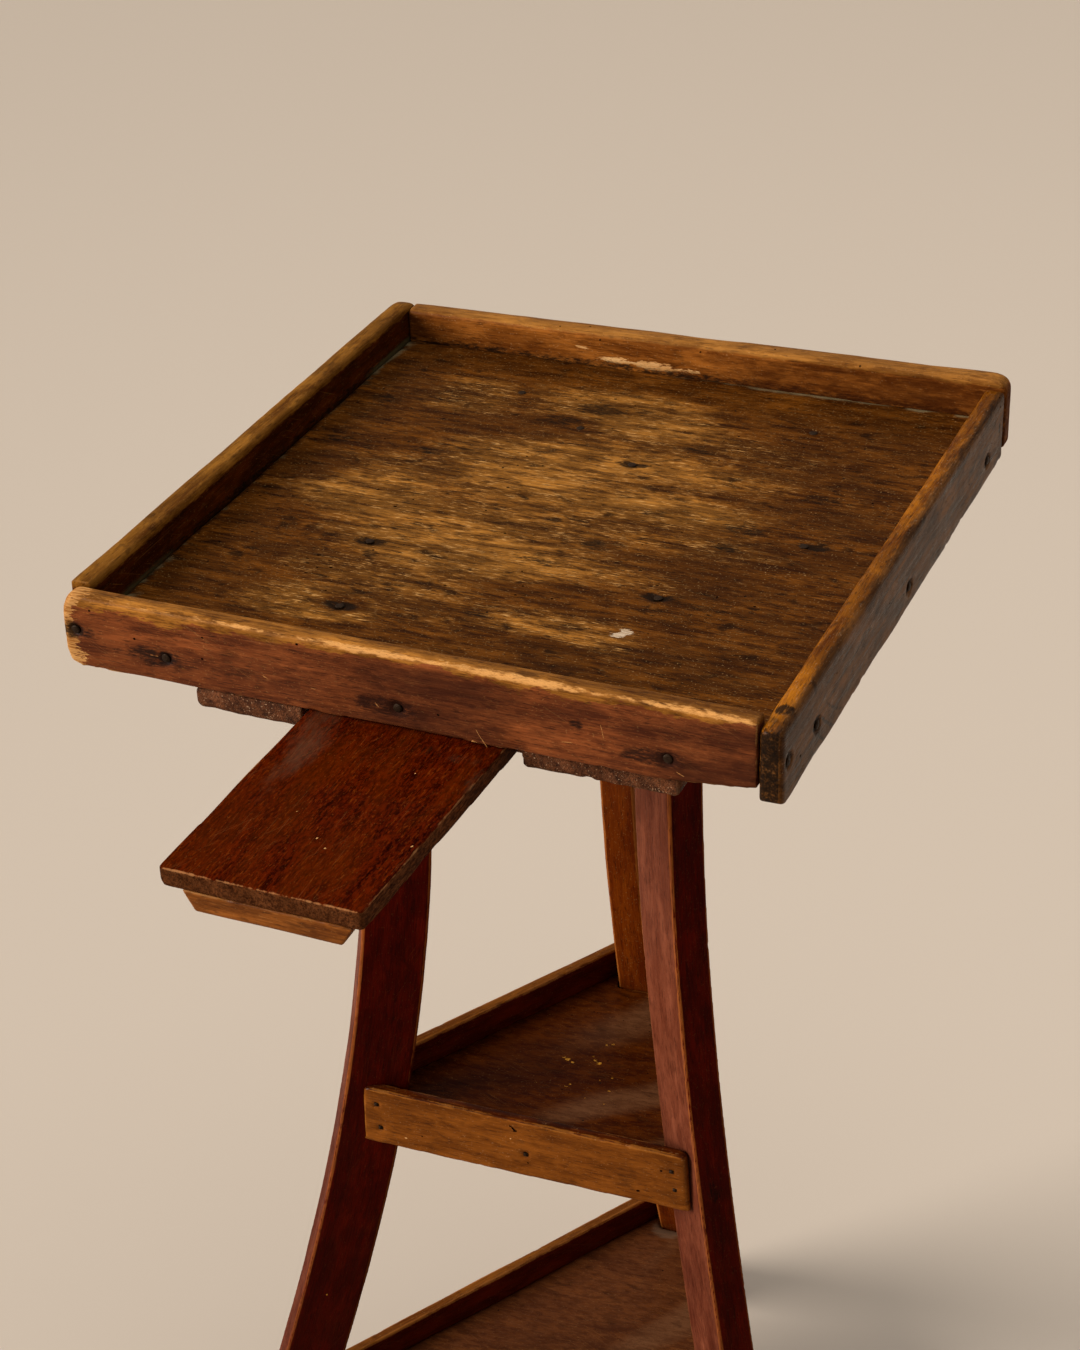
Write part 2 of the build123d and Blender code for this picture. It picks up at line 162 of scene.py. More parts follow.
cameraView = {
    "place": (0.5094, -1.0944, 1.3540),
    "turn": 27.14,          # degrees round to the right of the stand's front
    "pitch": 30.92,         # degrees above level
    "roll": -3.85,
    "lens": 72.13,
    "shift": (0.0879, 0.0210),
    "farthest": 60,
}
studio = {
    "windowFrom": (-0.73, -0.54, 0.42),     # a wide window, low on the left and a little in front
    "windowPower": 3.6,
    "windowWidth": 34.0,                    # degrees that it fills, seen from the stand
    "windowColour": (1.0, 0.93, 0.84),
    "ceilingPlace": (0.2, 0.3, 3.2),
    "ceilingTarget": (0, 0, 0.5),
    "ceilingSize": 3.0,
    "ceilingPower": 30.0,
    "ceilingColour": (1.0, 0.97, 0.93),
    "airColour": (0.300, 0.285, 0.264),
    "horizonColour": (0.509, 0.413, 0.323),     # the same as the far floor, which then has no edge
    "horizonHeight": 0.30,
    "floorSize": 80.0,
    "floorColour": (0.66, 0.57, 0.484),
    "floorBounce": (0.26, 0.19, 0.13),      # what it throws back on the stand, as a boarded floor would
    "floorRough": 0.9,
    "floorSpecular": 0.1,
}


def makeCamera(view):
    turn, pitch, roll = (math.radians(view[key]) for key in ("turn", "pitch", "roll"))
    back = Vector((math.sin(turn) * math.cos(pitch), -math.cos(turn) * math.cos(pitch), math.sin(pitch)))
    right = Vector((math.cos(turn), math.sin(turn), 0))
    up = back.cross(right)
    rolledRight = right * math.cos(roll) + up * math.sin(roll)
    rolledUp = up * math.cos(roll) - right * math.sin(roll)
    data = bpy.data.cameras.new("studioCamera")
    data.lens = view["lens"]
    data.shift_x, data.shift_y = view["shift"]
    data.clip_end = view["farthest"]
    camera = addObject("studioCamera", data)
    turned = Matrix((rolledRight, rolledUp, back)).transposed().to_4x4()
    camera.matrix_world = Matrix.Translation(view["place"]) @ turned
    scene.camera = camera


def placeLamp(data, place, target):
    aim = (Vector(target) - Vector(place)).to_track_quat("-Z", "Y").to_matrix().to_4x4()
    addObject(data.name, data).matrix_world = Matrix.Translation(place) @ aim


def makeStudio(look):
    window = bpy.data.lights.new("windowLight", "SUN")
    window.energy = look["windowPower"]
    window.angle = math.radians(look["windowWidth"])
    window.color = look["windowColour"]
    placeLamp(window, look["windowFrom"], (0, 0, 0))
    ceiling = bpy.data.lights.new("ceilingLight", "AREA")
    ceiling.size = look["ceilingSize"]
    ceiling.energy = look["ceilingPower"]
    ceiling.color = look["ceilingColour"]
    placeLamp(ceiling, look["ceilingPlace"], look["ceilingTarget"])

    scene.world = bpy.data.worlds.new("studioAir")
    scene.world.use_nodes = True
    tree = scene.world.node_tree
    tree.nodes.clear()
    way = put(tree, "ShaderNodeTexCoord").outputs["Generated"]
    height = put(tree, "ShaderNodeSeparateXYZ", {0: way}).outputs[2]
    sky = tint(ease(height, 0.0, look["horizonHeight"]), look["horizonColour"], look["airColour"])
    put(tree, "ShaderNodeOutputWorld", {"Surface": put(tree, "ShaderNodeBackground", {"Color": sky}).outputs[0]})

    half = look["floorSize"] / 2
    mesh = bpy.data.meshes.new("studioFloor")
    mesh.from_pydata([(-half, -half, 0), (half, -half, 0), (half, half, 0), (-half, half, 0)], [], [(0, 1, 2, 3)])
    paint, tree, shader = newMaterial("studioPaint")
    path = put(tree, "ShaderNodeLightPath").outputs
    seen = calc("MAXIMUM", path["Is Camera Ray"], path["Is Glossy Ray"])
    seen = calc("MAXIMUM", seen, path["Is Transmission Ray"])
    tree.links.new(tint(seen, look["floorBounce"], look["floorColour"]), shader["Base Color"])
    shader["Roughness"].default_value = look["floorRough"]
    shader["Specular IOR Level"].default_value = look["floorSpecular"]
    mesh.materials.append(paint)
    addObject("studioFloor", mesh)


makeCamera(cameraView)
makeStudio(studio)
print("camera and studio ready")


# Wood grain: growth bands, fibres, pores and clouds, on a board's own coordinates in metres
# A layer: its sizes, its offset, the noise's detail, roughness and warp, and where in the noise it starts and ends

grainLayers = {
    "Pores": ((0.0060, 0.0007, 0.0007), (2, 9, 4), (1.0, 0.5, 0.0), (0.60, 0.72)),
    "Clouds": ((0.075, 0.026, 0.026), (5, 1, 8), (3.0, 0.55, 0.6), (0.36, 0.66)),
    "Blotches": ((0.016, 0.0075, 0.0075), (1, 6, 2), (2.0, 0.55, 0.4), (0.58, 0.74)),
    "Flecks": ((0.0080, 0.0008, 0.0008), (9, 2, 6), (2.0, 0.6, 0.0), (0.57, 0.70)),
}
heartAcross, heartDepth = -0.05, 0.055      # from the board's middle to the heart of the log


def seededBoard(tree, given):
    shift = put(tree, "ShaderNodeCombineXYZ", {n: given["Seed"] for n in range(3)}).outputs[0]
    return move("ADD", given["Board"], shift)


def makeGrainGroup():
    inputs = {"Board": "Vector", "Band Width": 0.006, "Waviness": 0.006, "Lean": 0.04, "Mottle Size": 1.0,
              "Mottle Length": 1.0, "Seed": 0.0}
    outputs = dict.fromkeys(("Bands", "Fibres", "Mottle", *grainLayers), "Float")
    tree, given, out = newGroup("woodGrain", "ShaderNodeTree", inputs, outputs)
    board = seededBoard(tree, given)
    along, across, through = put(tree, "ShaderNodeSeparateXYZ", {0: given["Board"]}).outputs

    # growth bands: distance from the heart of the log, which leans away along the board
    sway = times(minus(clouds(stretch(board, (0.16, 0.035, 0.035)), 2.0), 0.5), given["Waviness"])
    across, depth = plus(across, heartAcross), plus(through, heartDepth)
    radius = calc("SQRT", plus(times(across, across), times(depth, depth)))
    radius = plus(radius, times(along, given["Lean"]), times(sway, 6.0))
    wave = calc("SINE", times(calc("DIVIDE", radius, given["Band Width"]), 2 * math.pi))
    tree.links.new(ease(wave, -0.9, 1.0), out["Bands"])

    fine = clouds(stretch(board, (0.018, 0.0009, 0.0009)), 3.0, 0.65)
    coarse = clouds(stretch(board, (0.055, 0.0034, 0.0034), (7, 3, 1)), 2.0, 0.5)
    tree.links.new(ease(plus(times(fine, 0.6), times(coarse, 0.4)), 0.38, 0.62), out["Fibres"])
    for label, (sizes, offset, noise, ends) in grainLayers.items():
        tree.links.new(ease(clouds(stretch(board, sizes, offset), *noise), *ends), out[label])

    patches = stretch(board, (0.024, 0.0085, 0.0085), (3, 5, 7))
    shorter = calc("DIVIDE", 1.0, given["Mottle Length"])
    patches = move("MULTIPLY", patches, put(tree, "ShaderNodeCombineXYZ", {0: shorter, 1: 1.0, 2: 1.0}).outputs[0])
    smaller = calc("DIVIDE", 1.0, given["Mottle Size"])
    patches = put(tree, "ShaderNodeVectorMath", {0: patches, "Scale": smaller}, operation="SCALE").outputs[0]
    tree.links.new(ease(clouds(patches, 6.0, 0.70, 0.3), 0.42, 0.58), out["Mottle"])
    return tree


# Age: ragged edges for everything that was painted on the mesh, with scratches, specks and beetle holes

def makeAgeGroup():
    inputs = {"Board": "Vector", "Arris": 0.02, "Worn": 0.0, "Bare": 0.0, "Stain": 0.0, "Dust": 0.0,
              "Edge Width": 0.0015, "Hole Share": 0.08, "Raggedness": 1.0, "Seed": 0.0}
    outputs = dict.fromkeys(("Edge", "Bare", "Stain", "Dust", "Scratches", "Specks", "Holes", "Torn"), "Float")
    tree, given, out = newGroup("oldFinish", "ShaderNodeTree", inputs, outputs)
    board = seededBoard(tree, given)
    ragged = minus(clouds(stretch(board, (0.0075, 0.0022, 0.0022)), 4.0, 0.62), 0.5)
    slow = minus(clouds(stretch(board, (0.045, 0.016, 0.016), (4, 4, 1)), 2.0), 0.5)
    torn = minus(clouds(stretch(board, (0.0042, 0.0011, 0.0011), (2, 7, 3)), 3.0, 0.6), 0.5)
    broken = plus(ragged, torn)
    tree.links.new(broken, out["Torn"])

    uneven = times(given["Raggedness"], plus(times(ragged, 2.4), times(slow, 2.6)))
    reach = times(given["Edge Width"], plus(1.0, uneven))
    line = ease(calc("DIVIDE", given["Arris"], calc("MAXIMUM", reach, 0.0001)), 0.7, 1.25, 1.0, 0.0)
    rubbed = ease(plus(given["Worn"], times(broken, 0.9)), 0.42, 0.80)
    tree.links.new(calc("MAXIMUM", line, rubbed), out["Edge"])

    # a painted field gets a torn outline and stays at nothing where nothing was painted
    for label, tearing, low, high, rise in (("Bare", times(broken, 1.15), 0.48, 0.64, 4.0),
                                            ("Stain", times(broken, 1.5), 0.18, 0.85, 2.5),
                                            ("Dust", times(plus(ragged, slow), 0.7), 0.2, 0.8, 3.0)):
        shape = ease(plus(given[label], tearing), low, high)
        tree.links.new(times(shape, times(given[label], rise, True)), out[label])

    slanted = put(tree, "ShaderNodeMapping", {"Vector": board, "Rotation": (0, 0, 0.5)}).outputs[0]
    slanted = clouds(stretch(slanted, (0.034, 0.00045, 0.00045), (3, 2, 2)), 0.0, 0.5)
    along = put(tree, "ShaderNodeMapping", {"Vector": board, "Rotation": (0, 0, -0.02)}).outputs[0]
    along = clouds(stretch(along, (0.040, 0.0006, 0.0006), (8, 2, 5)), 1.0, 0.5)
    lines = plus(ease(slanted, 0.74, 0.80), ease(along, 0.66, 0.76), clamp=True)
    tree.links.new(times(lines, ease(slow, -0.04, 0.12)), out["Scratches"])

    grit = clouds(stretch(board, (0.0012, 0.0008, 0.0008), (6, 6, 6)), 0.0, 0.5)
    tree.links.new(ease(grit, 0.72, 0.80), out["Specks"])

    cells = put(tree, "ShaderNodeTexVoronoi", {"Vector": board, "Scale": 160.0, "Randomness": 1.0}).outputs
    chosen = put(tree, "ShaderNodeSeparateColor", {0: cells["Color"]}).outputs[0]
    bored = ease(cells["Distance"], 0.075, 0.125, 1.0, 0.0)
    tree.links.new(times(calc("LESS_THAN", chosen, given["Hole Share"]), bored), out["Holes"])
    return tree


grainGroup = makeGrainGroup()
ageGroup = makeAgeGroup()
print("grain and age groups ready")


# What a wood looks like where its own dictionary doesn't say otherwise

usualWood = {
    "band": 0.01, "waviness": 0.003, "lean": 0.04, "bandShare": 0.3, "mottled": 0.4,
    "mottleSize": 1.0, "mottleLength": 1.0,
    "toneSoft": 0.2, "toneTorn": 0.8, "blotchy": 0.3, "porous": 0.5, "flecked": 0.25, "fleckTone": 0,
    "edgeShare": 0.5, "edgeWidth": 0.0008, "ragged": 1.0, "specked": 0.15, "scratched": 0.3, "holes": 0.0,
    "dust": (0.3, 0.26, 0.2), "dusty": 0.6, "rough": 0.42, "roughSwing": 0.12, "specular": 0.02,
    "coat": 0.12, "coatRough": 0.3, "bump": 0.4, "relief": 0.5, "plain": 0,
}
# Masks that are laid over the tone in this order: the mask, how strong it is, its colour
finishLayers = [("Blotches", "blotchy", "deep"), ("Pores", "porous", "deep"), ("Flecks", "flecked", "fleck"),
                ("Edge", "edgeShare", "edge"), ("Scratches", "scratched", "edge"), ("Specks", "specked", "speck")]
reliefLayers = [("Pores", 0.4), ("Holes", 3.0), ("Scratches", 0.6), ("Stain", 0.8), ("Bare", 0.8), ("Blotches", 0.5)]
stainShare, holeShare, holeColour = 0.92, 0.94, (0.005, 0.003, 0.002)
bareRougher, dustRougher, bumpDepth = 0.25, 0.3, 0.00035


def makeWood(name, own):
    look = {**usualWood, "speck": own["bare"], "bareDark": own["edge"], "stain": own["deep"], **own}
    material, tree, shader = newMaterial(name)

    def field(label):
        node = put(tree, "ShaderNodeAttribute", attribute_type="GEOMETRY", attribute_name=label)
        return node.outputs["Vector" if label == "board" else "Fac"]

    if look["plain"]:       # CAD pieces that stay have no painted fields
        place = put(tree, "ShaderNodeTexCoord").outputs["Object"]
        board = put(tree, "ShaderNodeMapping", {"Vector": place, "Rotation": (0, 0, look["plain"])}).outputs[0]
        painted = {"Arris": 0.02}
    else:
        board = field("board")
        painted = {label: field(label.lower()) for label in ("Arris", "Worn", "Bare", "Stain", "Dust")}
    grain = put(tree, "ShaderNodeGroup", node_tree=grainGroup)
    age = put(tree, "ShaderNodeGroup", node_tree=ageGroup)
    for group, values in (
            (grain, {"Board": board, "Band Width": look["band"], "Waviness": look["waviness"], "Lean": look["lean"],
                     "Mottle Size": look["mottleSize"], "Mottle Length": look["mottleLength"], "Seed": look["seed"]}),
            (age, {"Board": board, "Edge Width": look["edgeWidth"], "Hole Share": look["holes"],
                   "Raggedness": look["ragged"], "Seed": look["seed"], **painted})):
        for label, value in values.items():
            if isinstance(value, bpy.types.NodeSocket):
                tree.links.new(value, group.inputs[label])
            else:
                group.inputs[label].default_value = value
    masks = {output.name: output for output in (*grain.outputs, *age.outputs)}

    def tone(colours):
        streak = plus(times(masks["Bands"], look["bandShare"]), times(masks["Fibres"], 1 - look["bandShare"]))
        streak = plus(times(streak, 1 - look["mottled"]), times(masks["Mottle"], look["mottled"]))
        colour = tint(streak, colours["dark"], colours["light"])
        return tint(times(masks["Clouds"], colours.get("patchy", 0.5)), colour, colours["patch"])

    colour = tone(look["tone"])
    if "toneB" in look:
        other = plus(field("tone"), times(masks["Torn"], look["toneTorn"]))
        colour = tint(ease(other, 0.5 - look["toneSoft"], 0.5 + look["toneSoft"]), colour, tone(look["toneB"]))
    masks["Flecks"] = times(masks["Flecks"], ease(masks["Mottle"], 0.1, 0.9, 0.15, 1.0))
    if look["fleckTone"]:
        masks["Flecks"] = times(masks["Flecks"], ease(field("tone"), 0.0, look["fleckTone"], 0.12, 1.0))
    for mask, share, paint in finishLayers:
        colour = tint(times(masks[mask], look[share]), colour, look[paint])
    colour = tint(masks["Bare"], colour, tint(masks["Fibres"], look["bareDark"], look["bare"]))
    colour = tint(times(masks["Stain"], stainShare), colour, look["stain"])
    colour = tint(times(masks["Dust"], look["dusty"]), colour, look["dust"])
    colour = tint(times(masks["Holes"], holeShare), colour, holeColour)
    tree.links.new(colour, shader["Base Color"])

    rough = plus(look["rough"], times(minus(masks["Fibres"], 0.5), look["roughSwing"]))
    rough = plus(rough, times(masks["Bare"], bareRougher))
    tree.links.new(plus(rough, times(masks["Dust"], dustRougher), clamp=True), shader["Roughness"])
    shader["Specular IOR Level"].default_value = look["specular"]
    if look["coat"]:
        covered = minus(1.0, calc("MAXIMUM", masks["Bare"], masks["Dust"]))
        tree.links.new(times(covered, look["coat"]), shader["Coat Weight"])
        shader["Coat Roughness"].default_value = look["coatRough"]

    height = times(masks["Fibres"], look["relief"])
    for mask, depth in reliefLayers:
        height = minus(height, times(masks[mask], depth))
    bump = put(tree, "ShaderNodeBump", {"Height": height, "Strength": look["bump"], "Distance": bumpDepth})
    tree.links.new(bump.outputs[0], shader["Normal"])
    return material


# Skins: a welded copy of each CAD board gets an even skin, rubbed corners and painted fields

def weldedMesh(node):
    welding = bmesh.new()
    welding.from_mesh(nodes[node].data)
    bmesh.ops.remove_doubles(welding, verts=welding.verts, dist=1e-6)
    return welding


def longArrises(mesh, shortest=0.0075, sharpest=25.0):
    reading = bmesh.new()
    reading.from_mesh(mesh)
    lines = []
    for edge in reading.edges:
        if len(edge.link_faces) == 2 and edge.calc_length() > shortest:
            if math.degrees(edge.calc_face_angle(0)) > sharpest and edge.is_convex:
                lines.append((tuple(edge.verts[0].co), tuple(edge.verts[1].co)))
    reading.free()
    return np.array(lines).reshape(-1, 2, 3)


def bakeModifiers(obj):
    evaluated = obj.evaluated_get(bpy.context.evaluated_depsgraph_get())
    mesh = bpy.data.meshes.new_from_object(evaluated)
    obj.modifiers.clear()
    old = obj.data
    obj.data = mesh
    bpy.data.meshes.remove(old)
    mesh.name = obj.name


def readArray(items, attribute, width, kind=float):
    values = np.empty(len(items) * width, kind)
    items.foreach_get(attribute, values)
    return values.reshape(-1, width)


def readPoints(mesh):
    return readArray(mesh.vertices, "co", 3)


def averaged(points, edges, count):
    a, b = edges[:, 0], edges[:, 1]
    total = np.stack([np.bincount(a, points[b, n], len(points)) + np.bincount(b, points[a, n], len(points))
                      for n in range(3)], 1)
    return total / count[:, None]


def fade(value):
    # a share between nothing and all
    return np.clip(value, 0, 1)


def ripple(points, size, seed, waves=7):
    dice = np.random.default_rng(seed)
    value = np.zeros(len(points))
    for n in range(waves):
        way = dice.normal(size=3)
        way /= np.linalg.norm(way)
        value += np.sin(points @ way * (2 * math.pi / (size * dice.uniform(0.6, 1.6))) + dice.uniform(0, 6.28))
    return value / math.sqrt(waves / 2) / 2


def spotField(points, spots):
    # a spot is (place, reach, strength); it fades from its middle out to a little past its reach
    value = np.zeros(len(points))
    for place, reach, strength in spots:
        apart = (((points - np.array(place)) / np.array(reach)) ** 2).sum(1)
        value = np.maximum(value, strength * np.clip(1.25 - apart, 0, 1))
    return value


def nicksAlong(lines, count, seed):
    # small knocks, thrown along the arrises by their length
    dice = np.random.default_rng(seed)
    lengths = np.linalg.norm(lines[:, 1] - lines[:, 0], axis=1)
    spots = []
    for n in range(count):
        start, end = lines[dice.choice(len(lines), p=lengths / lengths.sum())]
        place = start + (end - start) * dice.uniform()
        size = dice.uniform(0.0012, 0.0032)
        spots.append((tuple(place), (size * 1.3, size * 1.3, size), dice.uniform(0.4, 1.0)))
    return spots


def arrisField(points, lines):
    nearest = np.full(len(points), 0.02)
    for start, end in lines:
        way = end - start
        along = np.clip((points - start) @ way / (way @ way), 0, 1)
        nearest = np.minimum(nearest, np.linalg.norm(points - start - along[:, None] * way, axis=1))
    return nearest


def writeField(mesh, name, values):
    values = np.asarray(values, np.float32)
    kind, key = ("FLOAT_VECTOR", "vector") if values.ndim == 2 else ("FLOAT", "value")
    mesh.attributes.new(name, kind, "POINT").data.foreach_set(key, values.ravel())


def straightBoard(points, grain):
    along = np.array(grain, float) / np.linalg.norm(grain)
    centre = (points.min(0) + points.max(0)) / 2
    flat = points - centre
    side = np.cross((0, 0, 1), along)
    up = np.cross(along, side)
    spans = [np.ptp(flat @ way) for way in (side, up)]
    across, through = (side, up) if spans[0] >= spans[1] else (up, side)
    return np.stack([flat @ along, flat @ across, flat @ through], 1)


def curvedLeg(points):
    height = points[:, 2]
    middle = [np.polyfit(height, points[:, n], 5) for n in (0, 1)]
    top = np.array([np.polyval(fit, height.max()) for fit in middle])
    foot = np.array([np.polyval(fit, 0.0) for fit in middle])
    outwards = (foot - top) / np.linalg.norm(foot - top)
    sideways = np.array((-outwards[1], outwards[0]))
    flat = points[:, :2] - np.stack([np.polyval(fit, height) for fit in middle], 1)
    return np.stack([height, flat @ outwards, flat @ sideways], 1)


def handOver(piece, node):
    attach(piece, nodes[node]["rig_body"])


usualBoard = {
    "rubs": 5, "rubMore": [], "uneven": 0.45, "hollow": 0.0, "nicks": 10, "nickDepth": 0.00055, "wear": 0.8,
    "stands": False, "stain": [], "bare": [], "dust": [], "dent": [],
}
surface = {"planed": 0.00012, "dent": 0.00035, "wearDepth": 0.00035, "knocked": 0.35, "resting": 0.0004}
pieces = {}


def dressBoard(node, own):
    # own: slot (not used), material, seed, skin (m), grain or "leg", and what differs from the usual board
    spec = {**usualBoard, **own}
    seed = spec["seed"]
    welding = weldedMesh(node)
    mesh = bpy.data.meshes.new(camelName(node))
    welding.to_mesh(mesh)
    welding.free()
    piece = addObject(camelName(node), mesh)
    lines = longArrises(mesh)
    skin = piece.modifiers.new("skin", "REMESH")
    skin.mode = "VOXEL"
    skin.voxel_size = spec["skin"] * roughSkin
    bakeModifiers(piece)
    mesh = piece.data
    points, edges = readPoints(mesh), readArray(mesh.edges, "vertices", 2, np.int32)
    count = np.maximum(np.bincount(edges.ravel(), minlength=len(points)), 1).astype(float)

    # rub the corners unevenly
    unevenly = np.clip(0.45 + spec["uneven"] * ripple(points, 0.06, seed), 0.12, 0.95)
    for n in range(spec["rubs"]):
        points = points + (averaged(points, edges, count) - points) * unevenly[:, None]
    for place, reach, passes in spec["rubMore"]:
        here = spotField(points, [(place, reach, 0.9)])
        for n in range(passes):
            points = points + (averaged(points, edges, count) - points) * here[:, None]
    mesh.vertices.foreach_set("co", points.ravel())
    mesh.update()
    normals = readArray(mesh.vertex_normals, "vector", 3)

    # what is painted on the surface
    fields = {label: spotField(points, spec.get(label, [])) for label in ("stain", "bare", "dust", "tone", "worn")}
    if "paint" in spec:
        for label, values in spec["paint"](points, normals).items():
            fields[label] = np.maximum(fields[label], values)

    # a hand-planed surface is never quite flat; everything goes inwards
    sink = surface["planed"] * (1 + ripple(points, 0.05, seed + 1))
    sink = sink + spec["hollow"] * (1 + ripple(points, 0.012, seed + 2))
    sink = sink + surface["dent"] * spotField(points, spec["dent"])
    knocks = spotField(points, nicksAlong(lines, spec["nicks"], seed + 3))
    sink = sink + spec["nickDepth"] * knocks
    fields["worn"] = np.maximum(fields["worn"], surface["knocked"] * knocks)
    if spec["stands"]:
        sink = np.where(points[:, 2] < points[:, 2].min() + surface["resting"], 0, sink)
    points = points - normals * sink[:, None]

    # what stands out is worn
    soft = points
    for n in range(3):
        soft = soft + (averaged(soft, edges, count) - soft) * 0.8
    bulge = ((points - soft) * normals).sum(1)
    fields["worn"] = np.maximum(fields["worn"], np.clip(bulge / surface["wearDepth"], 0, 1) * spec["wear"])

    mesh.vertices.foreach_set("co", points.ravel())
    mesh.update()
    fields["board"] = curvedLeg(points) if spec["grain"] == "leg" else straightBoard(points, spec["grain"])
    fields["arris"] = arrisField(points, lines)
    for label, values in fields.items():
        writeField(mesh, label, values)
    mesh.polygons.foreach_set("use_smooth", np.ones(len(mesh.polygons), bool))
    mesh.materials.append(spec["material"])
    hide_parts(node)
    handOver(piece, node)
    pieces[node] = piece
    print("dressed", node, len(mesh.polygons), "faces")


floorLow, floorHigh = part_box("tray_floor")
frontLow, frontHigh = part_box("front_board")
rightLow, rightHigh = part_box("right_board")
backLow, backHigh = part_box("back_board")
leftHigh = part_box("left_board")[1]
slideLow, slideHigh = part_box("slide_board")


# Tray floor: one board, golden in the middle and nearly black in the corners: partly rubbed varnish, partly painted
# light and painted shade

floorWood = makeWood("floorWood", {
    "seed": 3.1, "band": 0.009, "waviness": 0.005, "lean": 0.03, "mottleLength": 1.2, "edgeWidth": 0.001,
    "holes": 0.05, "bandShare": 0.2, "mottled": 0.42, "toneSoft": 0.48, "blotchy": 0.8, "porous": 0.85,
    "flecked": 0.88, "fleckTone": 0.5, "edgeShare": 0.4, "specked": 0.35, "dusty": 0.7,
    "dust": (0.19, 0.15, 0.078), "roughSwing": 0.25, "specular": 0.01, "coat": 0.06, "coatRough": 0.28,
    "bump": 0.9,
    "tone": {"dark": (0.018, 0.0033, 0.0002), "light": (0.165, 0.05, 0.004),
             "patch": (0.034, 0.009, 0.0008), "patchy": 0.6},
    # the lighter colours laid on by the tone field: partly rubbed varnish, partly painted light
    "toneB": {"dark": (0.036, 0.009, 0.0006), "light": (0.54, 0.22, 0.036),
              "patch": (0.04, 0.011, 0.0005), "patchy": 0.6},
    "deep": (0.01, 0.003, 0.0006), "fleck": (0.7, 0.37, 0.12), "edge": (0.2, 0.09, 0.022),
    "bare": (0.6, 0.46, 0.33), "bareDark": (0.44, 0.3, 0.18), "speck": (0.5, 0.3, 0.12),
    "stain": (0.008, 0.004, 0.002),
})


# spots painted lighter: partly rubbed varnish, partly painted light
floorRubbedAndLit = [(-0.096, 0.170, 0.035, 0.030, 0.6), (-0.098, 0.044, 0.040, 0.028, 0.6),
             (-0.081, -0.080, 0.048, 0.024, 0.9), (-0.020, -0.009, 0.060, 0.020, 0.5),
             (0.060, 0.073, 0.050, 0.018, 0.5), (0.000, 0.180, 0.075, 0.032, 0.42), (-0.033, 0.108, 0.060, 0.020, 0.5), (0.060, -0.060, 0.050, 0.018, 0.5)]
# spots painted darker: dark smudges, and painted shadow along the front board and at the left side
floorDarkAndShaded = [(0.134, 0.122, 0.014, 0.040), (0.146, 0.064, 0.030, 0.020), (-0.056, -0.072, 0.016, 0.010),
              (-0.029, 0.154, 0.020, 0.012), (0.140, -0.040, 0.045, 0.040), (0.126, 0.205, 0.050, 0.020),
              (-0.125, -0.023, 0.020, 0.040), (0.0, -0.108, 0.150, 0.020),
              (0.05, -0.085, 0.034, 0.018), (0.00, -0.092, 0.030, 0.012)]


def paintFloor(points, normals):
    x, y = points[:, 0], points[:, 1]
    # tone: lighter towards the middle and darker towards the front and sides, partly rubbed varnish and partly painted
    # light and painted shade
    middle = ((x + 0.005) / 0.160) ** 2 + ((y - 0.055) / 0.160) ** 2
    rubbedAndLit = spotField(points, [((px, py, floorHigh.z), (rx, ry, 0.02), bright) for px, py, rx, ry, bright in floorRubbedAndLit])
    darkAndShaded = spotField(points, [((px, py, floorHigh.z), (rx, ry, 0.02), 0.7) for px, py, rx, ry in floorDarkAndShaded])
    tone = fade(0.66 - 0.9 * middle + 0.35 * ripple(points * (0.5, 1.6, 1), 0.075, 11) + rubbedAndLit - darkAndShaded)
    side = np.minimum(np.minimum(x - floorLow.x, floorHigh.x - x), np.minimum(y - floorLow.y, floorHigh.y - y))
    # painted shade: the floor is darkened within 7 mm of each side, in the corners with the gallery boards; it rides on
    # the stain field
    stain = 0.62 * fade(1 - side / 0.007)
    fromBack = floorHigh.y - y
    wander = 0.0014 * ripple(points, 0.05, 16)
    line = fade(1.0 - np.abs(fromBack - 0.0024 - wander) / 0.0040) * np.clip(0.55 + (x - 0.02) / 0.20, 0.3, 1.2)
    line = line * np.clip(0.65 + 0.75 * ripple(points, 0.012, 17), 0.1, 1)
    fromLeft = x - floorLow.x
    ends = np.interp(y, (-0.15, -0.10, 0.0, 0.16, 0.20), (0.90, 0.80, 0.35, 0.30, 0.85))
    green = fade(1.2 - fromLeft / (0.008 + 0.004 * ripple(points, 0.025, 24))) * ends
    green = green * fade(0.65 + 0.8 * ripple(points, 0.010, 18))
    up = normals[:, 2] > 0.5
    return {"tone": tone * up, "stain": stain * up, "dust": np.maximum(line, green) * up}


